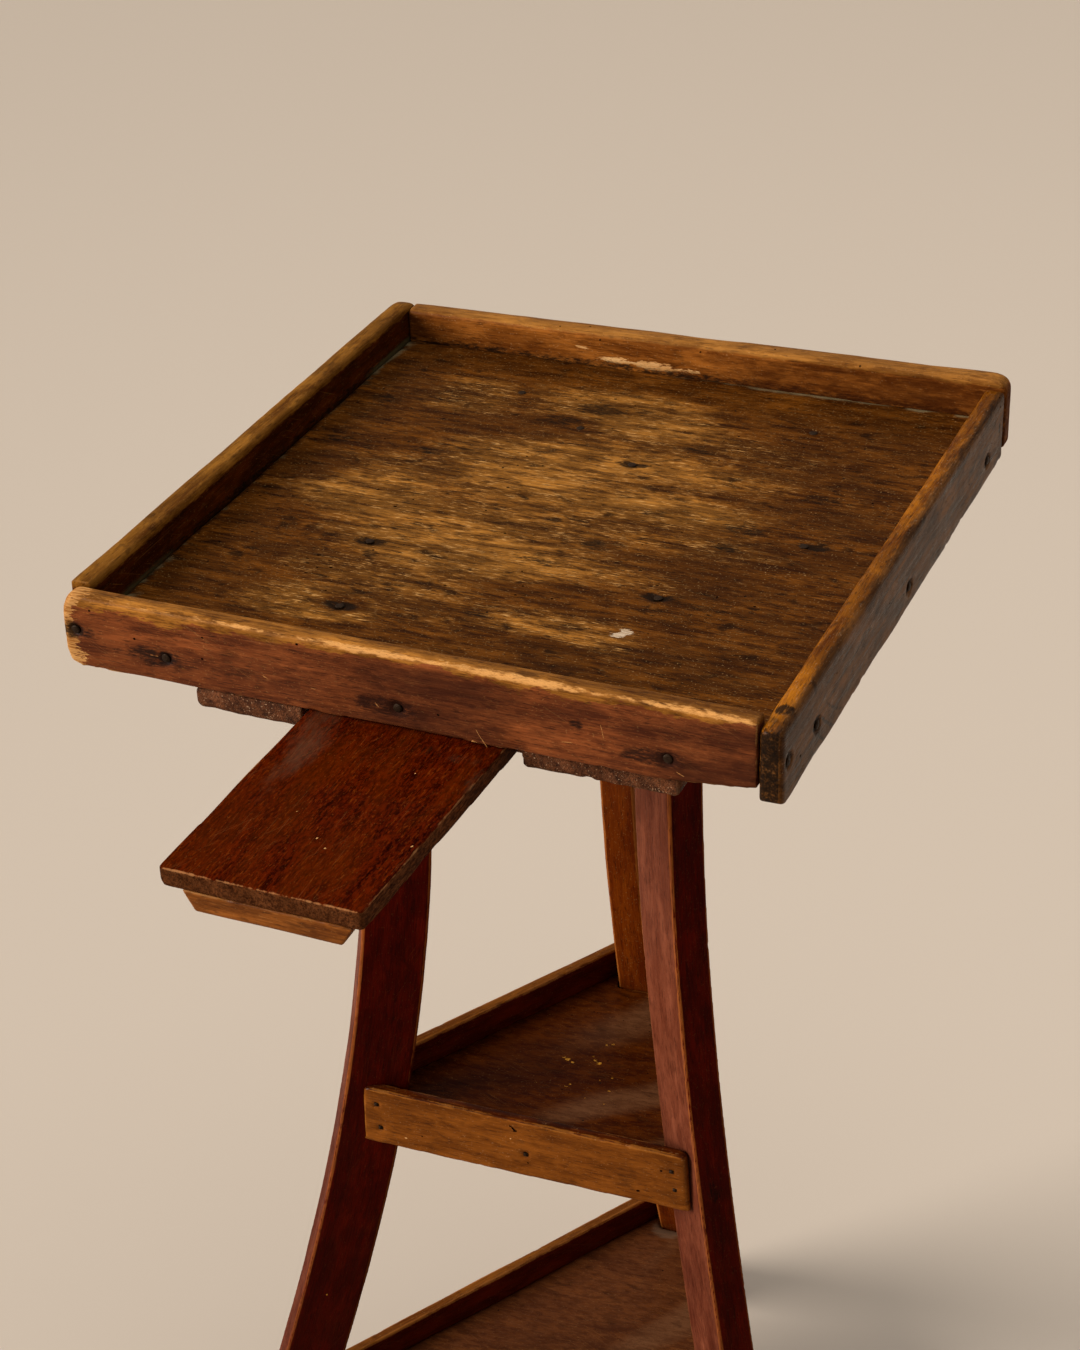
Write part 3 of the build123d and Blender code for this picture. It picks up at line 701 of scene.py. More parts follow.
floorNails = [(-0.0708, -0.0078), (-0.0550, -0.0736), (0.0887, -0.0151), (0.0238, 0.1177), (0.1446, 0.0590)]
floorSmudges = [(0.1057, 0.0651, 0.010), (0.1334, 0.1099, 0.008), (0.0422, 0.0262, 0.009), (-0.0340, 0.1565, 0.010),
                (-0.1398, 0.1526, 0.008), (-0.1433, 0.0963, 0.006), (0.0113, -0.0592, 0.006), (0.1027, 0.0435, 0.007),
                (-0.0867, 0.0991, 0.007), (0.0198, 0.0015, 0.008), (-0.0178, 0.1755, 0.012), (0.0522, 0.1451, 0.008)]
dressBoard("tray_floor", {
    "slot": "floor_wood", "material": floorWood, "seed": 21,
    "skin": 0.0020, "grain": (1, 0, 0), "rubs": 3, "wear": 0.2, "hollow": 0.00006, "nicks": 0,
    "stain": [((x, y, floorHigh.z), (0.0105, 0.0052, 0.004), 0.85) for x, y in floorNails]
             + [((x, y, floorHigh.z), (size * 1.6, size * 0.8, 0.004), 0.55) for x, y, size in floorSmudges],
    "dent": [((x, y, floorHigh.z), (0.0055, 0.0045, 0.004), 2.0) for x, y in floorNails],
    "bare": [((0.0868, -0.0515, floorHigh.z), (0.0050, 0.0040, 0.004), 0.80),
             ((0.0848, -0.0560, floorHigh.z), (0.0052, 0.0030, 0.004), 0.78),
             ((0.0775, -0.0545, floorHigh.z), (0.0080, 0.0013, 0.004), 0.55)],
    "paint": paintFloor,
})


# Front board: reddish brown, with the varnish worn through along its top arris and at its open left end

frontWood = makeWood("frontWood", {
    "seed": 8.4, "band": 0.012, "mottled": 0.35, "toneSoft": 0.15, "toneTorn": 1.5, "blotchy": 0.5, "porous": 0.6,
    "edgeShare": 0.78, "scratched": 0.1, "dusty": 0.75, "dust": (0.045, 0.013, 0.007), "coat": 0.09, "bump": 0.6,
    "tone": {"dark": (0.075, 0.017, 0.006), "light": (0.34, 0.092, 0.025),
             "patch": (0.065, 0.016, 0.007), "patchy": 0.55},
    "toneB": {"dark": (0.085, 0.024, 0.002), "light": (0.52, 0.205, 0.032),
              "patch": (0.06, 0.016, 0.002), "patchy": 0.6},
    "deep": (0.02, 0.006, 0.003), "fleck": (0.4, 0.14, 0.04), "edge": (0.78, 0.38, 0.115),
    "bare": (0.66, 0.34, 0.115), "bareDark": (0.34, 0.13, 0.028), "stain": (0.01, 0.005, 0.004),
})


def paintFront(points, normals):
    x, z = points[:, 0], points[:, 2]
    fromTop = frontHigh.z - z
    fromEnd = x - frontLow.x
    depth = 0.0048 + 0.0025 * ripple(points, 0.03, 5) - 0.0015 * np.clip(x / 0.17, -1, 1)
    outer = fade(1 - (points[:, 1] - frontLow.y) / 0.007)
    bare = fade(1.20 - fromTop / (0.6 * depth)) * fade(outer * 1.5)
    bare = bare * (0.34 + 0.16 * ripple(points, 0.045, 6))
    ledge = np.hypot(fromTop - 0.0005, points[:, 1] - frontLow.y - 0.001)
    worn = fade(1.25 - ledge / (0.0034 + 0.0016 * ripple(points, 0.04, 8)))
    worn = worn * np.clip(0.54 + 0.38 * ripple(points, 0.035, 26), 0.12, 0.85)
    smoke = np.interp(x, (-0.175, -0.09, -0.03, 0.04, 0.075, 0.12, 0.183), (0.10, 0.10, 0.50, 0.55, 0.30, 0.42, 0.62))
    smoke = fade(smoke * (1 + 0.3 * ripple(points * (0.4, 1, 1.5), 0.03, 19))) * fade(fromTop / 0.007)
    reach = np.interp(fromTop, (0, 0.006, 0.012, 0.022, 0.032), (0.021, 0.014, 0.009, 0.010, 0.015))
    end = fade(1.2 - fromEnd / (reach + 0.003 * ripple(points, 0.012, 7)))
    bare = np.maximum(bare, end * np.where(normals[:, 0] < -0.8, 0.50, 0.95))
    foot = fade(1 - (z - frontLow.z) / 0.0018) * 0.46
    bare = np.maximum(bare, foot)
    return {"bare": bare, "worn": worn, "dust": smoke, "tone": fade(1.45 - fromTop / depth)}


frontNails = [(-0.1678, 0.7145), (-0.1178, 0.7078), (0.0066, 0.7050), (0.1405, 0.7057)]
frontY = frontLow.y
dressBoard("front_board", {
    "slot": "front_wood", "material": frontWood, "seed": 31,
    "rubMore": [((frontLow.x, frontY, frontLow.z), (0.008, 0.020, 0.008), 30),
                ((frontLow.x, frontY, frontHigh.z), (0.007, 0.020, 0.007), 16)],
    "skin": 0.0009, "grain": (1, 0, 0), "rubs": 10, "wear": 0.25, "hollow": 0.00004, "nicks": 26,
    "stain": [((x - 0.006, frontY, z), (0.0200, 0.004, 0.0058), 0.66) for x, z in frontNails]
             + [((x, frontY, z), (0.0055, 0.004, 0.0046), 1.1) for x, z in frontNails]
             + [((0.0967, frontY, 0.7154), (0.004, 0.003, 0.003), 0.7),
                ((-0.09, frontY, 0.7080), (0.040, 0.003, 0.006), 0.28)],
    "dent": [((x, frontY, z), (0.0055, 0.004, 0.0045), 1.4) for x, z in frontNails],
    "paint": paintFront,
})


# Right board: weathered grey-brown outside, golden along its inner top arris, dark at its front end

rightWood = makeWood("rightWood", {
    "seed": 12.7, "waviness": 0.01, "edgeWidth": 0.0012, "holes": 0.03, "bandShare": 0.45, "blotchy": 0.7,
    "porous": 0.6, "flecked": 0.3, "edgeShare": 0.45, "scratched": 0.35, "specked": 0.25, "roughSwing": 0.2,
    "coat": 0.1, "coatRough": 0.2, "bump": 0.9,
    "tone": {"dark": (0.028, 0.0085, 0.001), "light": (0.235, 0.088, 0.018),
             "patch": (0.028, 0.0085, 0.001), "patchy": 0.6},
    "toneB": {"dark": (0.1, 0.022, 0.001), "light": (0.46, 0.15, 0.006),
              "patch": (0.05, 0.012, 0.0005), "patchy": 0.6},
    "deep": (0.012, 0.005, 0.002), "fleck": (0.2, 0.12, 0.06), "edge": (0.26, 0.1, 0.022),
    "bare": (0.45, 0.3, 0.18), "stain": (0.008, 0.004, 0.002), "rough": 0.36,
})


def paintRight(points, normals):
    fromTop = rightHigh.z - points[:, 2]
    fromInner = points[:, 0] - rightLow.x
    tone = fade(1.3 - fromTop / 0.004) * fade(1.5 - fromInner / 0.008)
    tone = np.maximum(tone, fade(1.2 - fromInner / 0.002) * 0.8)
    fromEnd = points[:, 1] - rightLow.y
    streak = np.sin((points[:, 1] * 0.8 + points[:, 2] * 1.0) * 2 * math.pi / 0.011 + 2 * ripple(points, 0.05, 9))
    lower = fade((0.718 - points[:, 2]) / 0.012) * fade(1 - np.abs(fromEnd - 0.06) / 0.05)
    stain = 0.75 * fade(streak * 1.6 - 0.6) * lower
    end = 0.75 * fade(1.1 - fromEnd / 0.006) * (fromInner < 0.0100)
    return {"tone": tone, "stain": np.maximum(stain, end)}


rightNails = [(-0.1298, 0.7122), (-0.0901, 0.7073), (0.0555, 0.7030), (0.2008, 0.7046)]
rightX = rightHigh.x
dressBoard("right_board", {
    "slot": "right_wood", "material": rightWood, "seed": 41,
    "skin": 0.0009, "grain": (0, 1, 0), "rubs": 12, "wear": 0.4, "hollow": 0.00009, "nicks": 22,
    "stain": [((rightX, y, z), (0.004, 0.0062, 0.0040), 0.85) for y, z in rightNails]
             + [((rightX, 0.2236, 0.7138), (0.004, 0.002, 0.004), 0.9),
                ((rightX - 0.006, -0.120, rightHigh.z), (0.006, 0.005, 0.003), 0.8)],
    "dent": [((rightX, y, z), (0.004, 0.0052, 0.0045), 2.6) for y, z in rightNails],
    "paint": paintRight,
})


# Back and left boards

backWood = makeWood("backWood", {
    "seed": 17.3, "band": 0.011, "edgeWidth": 0.001, "holes": 0.02, "blotchy": 0.4, "porous": 0.45,
    "edgeShare": 0.6, "dusty": 0.8, "dust": (0.05, 0.011, 0.0015), "coat": 0.09, "bump": 0.5,
    "tone": {"dark": (0.105, 0.026, 0.003), "light": (0.43, 0.14, 0.02),
             "patch": (0.09, 0.02, 0.002)},
    "toneB": {"dark": (0.15, 0.05, 0.006), "light": (0.46, 0.19, 0.034),
              "patch": (0.08, 0.024, 0.003)},
    "deep": (0.022, 0.006, 0.002), "fleck": (0.46, 0.19, 0.05), "edge": (0.5, 0.21, 0.045),
    "bare": (0.8, 0.47, 0.2), "bareDark": (0.58, 0.27, 0.08), "stain": (0.01, 0.005, 0.003),
})


def paintBack(points, normals):
    fromTop = backHigh.z - points[:, 2]
    # painted shade: the inner face is darkened at its foot, in the crease with the floor; it rides on the stain field
    foot = fade(1 - (points[:, 2] - floorHigh.z) / 0.005) * (points[:, 1] < backLow.y + 0.003)
    darker = np.interp(points[:, 0], (-0.165, -0.11, 0.01, 0.06, 0.195), (0.50, 0.05, 0.08, 0.55, 0.62))
    return {"tone": fade(1.5 - fromTop / 0.004), "stain": 0.6 * foot,
            "dust": darker * fade(fromTop / 0.006)}


backInner = backLow.y
dressBoard("back_board", {
    "slot": "back_wood", "material": backWood, "seed": 51,
    "skin": 0.0010, "grain": (1, 0, 0), "rubs": 9, "wear": 0.45, "hollow": 0.00004, "nicks": 18,
    "bare": [((-0.030, backInner, 0.7187), (0.014, 0.003, 0.0024), 0.72),
             ((-0.008, backInner, 0.7180), (0.018, 0.003, 0.0034), 0.76),
             ((0.012, backInner, 0.7178), (0.012, 0.003, 0.0018), 0.66),
             ((-0.0535, backInner, 0.7240), (0.009, 0.003, 0.0010), 0.62)],
    "paint": paintBack,
})

leftWood = makeWood("leftWood", {
    "seed": 23.9, "waviness": 0.004, "edgeWidth": 0.001, "holes": 0.02, "bandShare": 0.35, "blotchy": 0.45,
    "porous": 0.45, "dusty": 0.5, "dust": (0.12, 0.095, 0.04), "specular": 0.01, "coat": 0.05, "bump": 0.5,
    "tone": {"dark": (0.018, 0.0024, 0.0001), "light": (0.092, 0.0165, 0.0004),
             "patch": (0.016, 0.0023, 0.0001)},
    "toneB": {"dark": (0.085, 0.026, 0.002), "light": (0.33, 0.135, 0.018),
              "patch": (0.055, 0.016, 0.002)},
    "deep": (0.014, 0.004, 0.001), "fleck": (0.22, 0.09, 0.02), "edge": (0.3, 0.13, 0.028),
    "bare": (0.5, 0.28, 0.1), "stain": (0.008, 0.004, 0.002), "rough": 0.45,
})


def paintLeft(points, normals):
    fromTop = leftHigh.z - points[:, 2]
    # painted shade: the inner face is darkened at its foot, in the crease with the floor; it rides on the stain field
    foot = fade(1 - (points[:, 2] - floorHigh.z) / 0.006) * (points[:, 0] > leftHigh.x - 0.003)
    y = points[:, 1]
    dust = np.interp(y, (-0.15, -0.10, -0.02, 0.16, 0.20), (0.8, 0.7, 0.1, 0.1, 0.7))
    dust = dust * fade(1 - (points[:, 2] - floorHigh.z) / 0.003) * (points[:, 0] > leftHigh.x - 0.003)
    return {"tone": fade(1.5 - fromTop / 0.004), "stain": 0.6 * foot, "dust": dust}


dressBoard("left_board", {
    "slot": "left_wood", "material": leftWood, "seed": 61,
    "skin": 0.0010, "grain": (0, 1, 0), "rubs": 9, "wear": 0.4, "hollow": 0.00004, "nicks": 18, "paint": paintLeft,
})
print("tray ready")


# Cleats: rough sawn, never finished

cleatLook = {
    "seed": 29.2, "band": 0.005, "waviness": 0.006, "edgeWidth": 0.0012, "holes": 0.12, "bandShare": 0.4,
    "mottled": 0.5, "blotchy": 0.8, "porous": 0.8, "flecked": 0.35, "edgeShare": 0.4, "specked": 0.9,
    "roughSwing": 0.2, "specular": 0.1, "coat": 0, "coatRough": 0.25, "relief": 1.0, "bump": 1.0,
    "tone": {"dark": (0.03, 0.008, 0.003), "light": (0.26, 0.088, 0.034),
             "patch": (0.045, 0.014, 0.005)},
    "deep": (0.008, 0.004, 0.002), "fleck": (0.3, 0.17, 0.09), "edge": (0.24, 0.12, 0.06),
    "bare": (0.4, 0.26, 0.15), "speck": (0.44, 0.26, 0.15), "rough": 0.72,
}
cleatWood = makeWood("cleatWood", cleatLook)
for name, node, seed in (("leftCleat", "left_cleat", 71), ("rightCleat", "right_cleat", 72)):
    dressBoard(node, {
        "slot": "cleat_wood", "material": cleatWood, "seed": seed,
        "skin": 0.0013, "grain": (0, 1, 0), "rubs": 4, "wear": 0.3, "hollow": 0.00030, "nicks": 30, "nickDepth": 0.0010,
    })
crossWood = makeWood("crossWood", {**cleatLook, "seed": 33.3, "plain": 0.0001})
for node in ("rear_cleat", "front_keeper", "rear_keeper", "slide_stop"):
    nodes[node].data.materials.clear()
    nodes[node].data.materials.append(crossWood)


# Slide: red and glossy on top, grey-brown at its sides

slideWood = makeWood("slideWood", {
    "seed": 37.6, "band": 0.008, "waviness": 0.006, "mottleSize": 0.17, "ragged": 0.6, "mottled": 0.6,
    "porous": 0.55, "flecked": 0.45, "edgeShare": 0.62, "scratched": 0.12, "specked": 0.22,
    # the dust colour serves the pale patches at the far right and the painted sheen band along the left of the top
    "dust": (0.11, 0.044, 0.022), "specular": 0.0, "coat": 0.025, "coatRough": 0.08, "bump": 0.3,
    "tone": {"dark": (0.009, 0.0003, 0.0), "light": (0.102, 0.0088, 0.0002),
             "patch": (0.088, 0.0135, 0.0003), "patchy": 0.45},
    "toneB": {"dark": (0.024, 0.006, 0.002), "light": (0.165, 0.055, 0.018),
              "patch": (0.04, 0.012, 0.003)},
    "deep": (0.012, 0.0012, 0.0003), "fleck": (0.2, 0.04, 0.003), "edge": (0.5, 0.22, 0.08),
    "bare": (0.62, 0.45, 0.28), "bareDark": (0.5, 0.32, 0.18), "speck": (0.26, 0.08, 0.02),
    "stain": (0.016, 0.005, 0.002), "rough": 0.35,
})


def paintSlide(points, normals):
    x, y = points[:, 0], points[:, 1]
    sides = np.abs(normals[:, 2]) < 0.6
    fromFront = y - slideLow.y
    share = (y - slideLow.y) / (slideHigh.y - slideLow.y)
    leftEdge = slideLow.x + 0.0029 * (1 - share)
    fromLeft = x - leftEdge
    # painted sheen: a pale grey-brown band along the left of the top, carried in the dust field
    band = fade(1.2 - np.abs(fromLeft - 0.014 - 0.006 * ripple(points, 0.07, 13)) / 0.017)
    band = band * fade((fromFront - 0.040) / 0.05) * (normals[:, 2] > 0.5)
    under = np.where(normals[:, 2] < -0.5, 0.5, 0)
    return {"tone": np.where(sides, 1.0, under), "dust": band * 0.52}


slideTop = slideHigh.z
dressBoard("slide_board", {
    "slot": "slide_wood", "material": slideWood, "seed": 81,
    "skin": 0.0010, "grain": (0, 1, 0), "rubs": 5, "uneven": 0.18, "wear": 0.2, "nicks": 12, "nickDepth": 0.0003,
    "stain": [((0.030, -0.150, slideTop), (0.016, 0.006, 0.003), 0.35),
              ((0.058, -0.170, slideTop), (0.006, 0.020, 0.003), 0.35)],
    "dust": [((0.046, -0.152, slideTop), (0.012, 0.006, 0.003), 0.40),
             ((0.058, -0.166, slideTop), (0.004, 0.016, 0.003), 0.40)],
    "paint": paintSlide,
})

battenWood = makeWood("battenWood", {
    "seed": 41.8, "band": 0.006, "waviness": 0.004, "bandShare": 0.35, "blotchy": 0.6, "porous": 0.6,
    "flecked": 0.3, "coat": 0.14,
    "tone": {"dark": (0.085, 0.02, 0.003), "light": (0.35, 0.108, 0.018),
             "patch": (0.062, 0.015, 0.003), "patchy": 0.65},
    "deep": (0.03, 0.008, 0.002), "fleck": (0.5, 0.2, 0.05), "edge": (0.52, 0.23, 0.06), "bare": (0.6, 0.34, 0.13),
})
dressBoard("slide_batten", {
    "slot": "batten_wood", "material": battenWood, "seed": 91,
    "skin": 0.0008, "grain": (1, 0, 0), "rubs": 6, "wear": 0.4, "nicks": 8, "nickDepth": 0.0004,
})
print("slide ready")


# Legs: deep red-brown, with a thin orange line where each arris is rubbed

legWood = makeWood("legWood", {
    "seed": 47.1, "band": 0.014, "lean": 0.02, "edgeWidth": 0.0007, "ragged": 0.35, "mottled": 0.45,
    "flecked": 0.15, "scratched": 0.12, "specked": 0.04, "dusty": 0.62, "dust": (0.04, 0.007, 0.004),
    "specular": 0.01, "coat": 0.03,
    "tone": {"dark": (0.034, 0.0011, 0.0002), "light": (0.115, 0.005, 0.0004),
             "patch": (0.027, 0.0009, 0.0002), "patchy": 0.4},
    # the colours of the faces that look towards the window: painted light, with a pinkish painted sheen
    "toneB": {"dark": (0.118, 0.027, 0.012), "light": (0.24, 0.069, 0.034),
              "patch": (0.095, 0.02, 0.009)},
    "deep": (0.012, 0.0015, 0.0008), "fleck": (0.2, 0.035, 0.01), "edge": (0.46, 0.135, 0.026),
    "bare": (0.55, 0.36, 0.15), "stain": (0.006, 0.002, 0.001),
})
backLegWood = makeWood("backLegWood", {
    "seed": 49.5, "band": 0.012, "lean": 0.02, "ragged": 0.5, "mottled": 0.3, "flecked": 0.15, "edgeShare": 0.6,
    "scratched": 0.15, "specked": 0.12, "dusty": 0.0,
    "tone": {"dark": (0.102, 0.0125, 0.0008), "light": (0.228, 0.045, 0.002),
             "patch": (0.086, 0.0112, 0.0006), "patchy": 0.4},
    "deep": (0.018, 0.003, 0.001), "fleck": (0.26, 0.06, 0.01), "edge": (0.44, 0.14, 0.025),
    "bare": (0.55, 0.36, 0.15), "rough": 0.45,
})
windowWay = np.array(studio["windowFrom"][:2]) / np.hypot(*studio["windowFrom"][:2])


def paintLeg(points, normals):
    # painted light: on the left and right legs the faces that look towards the window are painted lighter and the
    # others nearly black as painted shade, the left leg getting less of the painted light; the legs also darken towards
    # the floor
    low = np.interp(points[:, 2], (0.0, 0.35, 0.65), (0.80, 0.40, 0.0))
    litFacing = fade((normals[:, :2] @ windowWay - 0.35) / 0.35)
    return {"tone": litFacing * np.where(points[:, 0] < -0.05, 0.55, 1.0), "dust": low}


for name, node, wood, seed in (("leftLeg", "left_leg", legWood, 101), ("rightLeg", "right_leg", legWood, 102),
                               ("backLeg", "back_leg", backLegWood, 103)):
    dressBoard(node, {
        "slot": "leg_wood", "material": wood, "seed": seed, "stands": True,
        "skin": 0.00095, "grain": "leg", "rubs": 4, "uneven": 0.2, "wear": 0.05, "nicks": 14, "nickDepth": 0.0003,
        "stain": [((0.1177, -0.0148, 0.3445), (0.005, 0.005, 0.009), 0.6)], "paint": paintLeg,
    })
print("legs ready")


# Shelves and rails

shelfWood = makeWood("shelfWood", {
    "seed": 53.3, "waviness": 0.006, "mottleSize": 0.4, "edgeWidth": 0.001, "holes": 0.05, "bandShare": 0.5,
    "mottled": 0.6, "toneSoft": 0.5, "toneTorn": 0.3, "blotchy": 0.4, "porous": 0.3, "flecked": 0.12,
    "edgeShare": 0.4, "specked": 0.2, "dusty": 0.4, "dust": (0.2, 0.14, 0.09), "coat": 0.08, "coatRough": 0.25,
    "bump": 0.5,
    "tone": {"dark": (0.04, 0.005, 0.0002), "light": (0.125, 0.027, 0.001),
             "patch": (0.042, 0.0055, 0.0002)},
    # the colours of the painted sheen streaks
    "toneB": {"dark": (0.112, 0.039, 0.014), "light": (0.178, 0.07, 0.028),
              "patch": (0.096, 0.032, 0.012), "patchy": 0.3},
    "deep": (0.016, 0.004, 0.001), "fleck": (0.2, 0.075, 0.025), "edge": (0.28, 0.1, 0.02),
    "bare": (0.62, 0.26, 0.03), "bareDark": (0.42, 0.14, 0.012), "speck": (0.34, 0.17, 0.06), "rough": 0.4,
})


def paintShelf(points, normals):
    # broad curved lighter streaks over the right half: painted sheen and painted light, the left half keeping the
    # darker tone
    swirl = np.hypot(points[:, 0] + 0.12, points[:, 1] - 0.20)
    sheenStreaks = fade(0.2 + 0.8 * np.sin(swirl * 2 * math.pi / 0.055 + 1.2 * ripple(points, 0.14, 15)))
    litRightHalf = fade((points[:, 0] + 0.02) / 0.05)
    low = points[:, 2].mean() < 0.2
    return {"tone": np.maximum(sheenStreaks * litRightHalf, 0.42 if low else 0.0)}


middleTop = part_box("middle_shelf")[1].z
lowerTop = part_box("lower_shelf")[1].z
dressBoard("middle_shelf", {
    "slot": "shelf_wood", "material": shelfWood, "seed": 111,
    "skin": 0.0015, "grain": (1, 0.1, 0), "rubs": 3, "nicks": 0, "wear": 0.3, "hollow": 0.00004,
    "paint": paintShelf,
})
dressBoard("lower_shelf", {
    "slot": "shelf_wood", "material": shelfWood, "seed": 112,
    "skin": 0.0018, "grain": (1, 0.1, 0), "rubs": 3, "nicks": 0, "wear": 0.3, "hollow": 0.00004,
    "dust": [((0.0046, 0.2019, lowerTop), (0.012, 0.010, 0.004), 0.9)],
    "paint": paintShelf,
})

goldRailWood = makeWood("goldRailWood", {
    "seed": 57.9, "edgeWidth": 0.0007, "bandShare": 0.35, "blotchy": 0.4, "flecked": 0.35, "edgeShare": 0.45,
    "scratched": 0.25, "coat": 0.14,
    "tone": {"dark": (0.11, 0.027, 0.001), "light": (0.3, 0.088, 0.009),
             "patch": (0.1, 0.024, 0.001), "patchy": 0.45},
    "toneB": {"dark": (0.02, 0.0022, 0.0002), "light": (0.12, 0.02, 0.0006),
              "patch": (0.018, 0.002, 0.0002), "patchy": 0.4},
    "deep": (0.03, 0.007, 0.001), "fleck": (0.38, 0.12, 0.012), "edge": (0.42, 0.15, 0.022),
    "bare": (0.62, 0.38, 0.18), "stain": (0.01, 0.004, 0.002),
})
redRailWood = makeWood("redRailWood", {
    "seed": 61.2, "ragged": 0.6, "bandShare": 0.35, "mottled": 0.35, "flecked": 0.15, "edgeShare": 0.6,
    "scratched": 0.2, "specked": 0.12,
    "tone": {"dark": (0.045, 0.0022, 0.0003), "light": (0.135, 0.01, 0.001),
             "patch": (0.038, 0.002, 0.0003), "patchy": 0.4},
    "toneB": {"dark": (0.1, 0.022, 0.001), "light": (0.28, 0.09, 0.009),
              "patch": (0.08, 0.018, 0.001), "patchy": 0.4},
    "deep": (0.016, 0.002, 0.0006), "fleck": (0.22, 0.05, 0.006), "edge": (0.4, 0.14, 0.025),
    "bare": (0.55, 0.36, 0.15), "rough": 0.44,
})


def railGrain(node):
    # a rail's own direction in plan, from its points
    points = readPoints(nodes[node].data)[:, :2]
    points = points - points.mean(0)
    values, ways = np.linalg.eigh(points.T @ points)
    way = ways[:, 1] * (1 if ways[0, 1] >= 0 else -1)
    return (way[0], way[1], 0)


def paintRailTop(points, normals):
    return {"tone": fade(normals[:, 2] * 2 - 0.6)}


for level in ("middle", "lower"):
    for side, seed in (("front", 121), ("right", 122), ("left", 123)):
        node = level + "_" + side + "_rail"
        dressBoard(node, {
            "slot": "rail_wood", "material": goldRailWood if side == "front" else redRailWood,
            "seed": seed + (10 if level == "lower" else 0), "skin": 0.0011, "grain": railGrain(node), "rubs": 5,
            "wear": 0.25, "hollow": 0.00003, "nicks": 10, "nickDepth": 0.0004, "paint": paintRailTop,
        })
print("shelves and rails ready")


# Small marks: bore holes, chips, scratches and flecks, one tree of Geometry Nodes laid on the finished surfaces

def readField(tree, label, kind="FLOAT_VECTOR"):
    return put(tree, "GeometryNodeInputNamedAttribute", {"Name": label}, data_type=kind).outputs[0]


def shakenGeometry(tree, geometry, place, scale, amount):
    # moves every point a little, each in its own direction
    dents = put(tree, "ShaderNodeTexNoise", {"Vector": place, "Scale": scale, "Detail": 1.0}).outputs["Color"]
    push = move("SUBTRACT", dents, (0.5, 0.5, 0.5))
    push = put(tree, "ShaderNodeVectorMath", {0: push, "Scale": amount}, operation="SCALE").outputs[0]
    return put(tree, "GeometryNodeSetPosition", {"Geometry": geometry, "Offset": push}).outputs[0]


def laidOut(tree, points, instance, rotation, scale=(1, 1, 1)):
    laid = put(tree, "GeometryNodeInstanceOnPoints", {"Points": points, "Instance": instance, "Rotation": rotation,
                                                     "Scale": scale}).outputs[0]
    return put(tree, "GeometryNodeRealizeInstances", {0: laid}).outputs[0]


def finishedGeometry(tree, geometry, material, end):
    solid = put(tree, "GeometryNodeRealizeInstances", {0: geometry}).outputs[0]
    painted = put(tree, "GeometryNodeSetMaterial", {"Geometry": solid, "Material": material}).outputs[0]
    tree.links.new(painted, end[0])


def growOn(name, tree, places, fields, values):
    # points with fields, turned by a tree of nodes into a plain mesh
    mesh = bpy.data.meshes.new(name)
    mesh.from_pydata([tuple(place) for place in places], [], [])
    for label, rows in fields.items():
        writeField(mesh, label, rows)
    grown = addObject(name, mesh)
    making = grown.modifiers.new("making", "NODES")
    making.node_group = tree
    for item in tree.interface.items_tree:
        if item.in_out == "INPUT" and item.name in values:
            making[item.identifier] = values[item.name]
    bakeModifiers(grown)
    return grown


def makeMarkTree():
    inputs = {"Geometry": "Geometry", "Unevenness": 0.0002, "Corners": 10, "Seed": 1, "Paint": "Material"}
    tree, given, end = newGroup("surfaceMarks", "GeometryNodeTree", inputs, {"Geometry": "Geometry"})
    tree.is_modifier = True
    disc = put(tree, "GeometryNodeMeshCylinder", {"Vertices": given["Corners"], "Radius": 0.5, "Depth": 1.0}).outputs[0]
    facing = put(tree, "FunctionNodeAlignRotationToVector", {"Vector": readField(tree, "outward")}, axis="Z").outputs[0]
    facing = put(tree, "FunctionNodeAlignRotationToVector", {"Rotation": facing, "Vector": readField(tree, "along")},
                 axis="X", pivot_axis="Z").outputs[0]
    laid = laidOut(tree, given["Geometry"], disc, facing, readField(tree, "span"))
    shift = put(tree, "ShaderNodeCombineXYZ", {0: given["Seed"]}).outputs[0]
    place = move("ADD", put(tree, "GeometryNodeInputPosition").outputs[0], shift)
    finishedGeometry(tree, shakenGeometry(tree, laid, place, 900.0, given["Unevenness"]), given["Paint"], end)
    return tree


def makeMarkPaint(name, dark, light):
    material, tree, shader = newMaterial(name)
    place = put(tree, "ShaderNodeTexCoord").outputs["Object"]
    grit = clouds(stretch(place, (0.0009, 0.0006, 0.0006)), 2.0, 0.6)
    tree.links.new(tint(ease(grit, 0.35, 0.65), dark, light), shader["Base Color"])
    tree.links.new(ease(grit, 0.3, 0.7, 0.6, 0.8), shader["Roughness"])
    shader["Specular IOR Level"].default_value = 0.0
    return material


markTree = makeMarkTree()
boreDark = makeMarkPaint("boreDark", (0.003, 0.0015, 0.001), (0.010, 0.005, 0.003))
rawWood = makeMarkPaint("rawWood", (0.42, 0.19, 0.05), (0.72, 0.40, 0.16))
scuffed = makeMarkPaint("scuffed", (0.30, 0.11, 0.03), (0.55, 0.27, 0.09))
ochreChip = makeMarkPaint("ochreChip", (0.40, 0.16, 0.012), (0.70, 0.34, 0.05))
markShape = {"proud": 0.00003, "thick": 0.0006, "corners": 10}


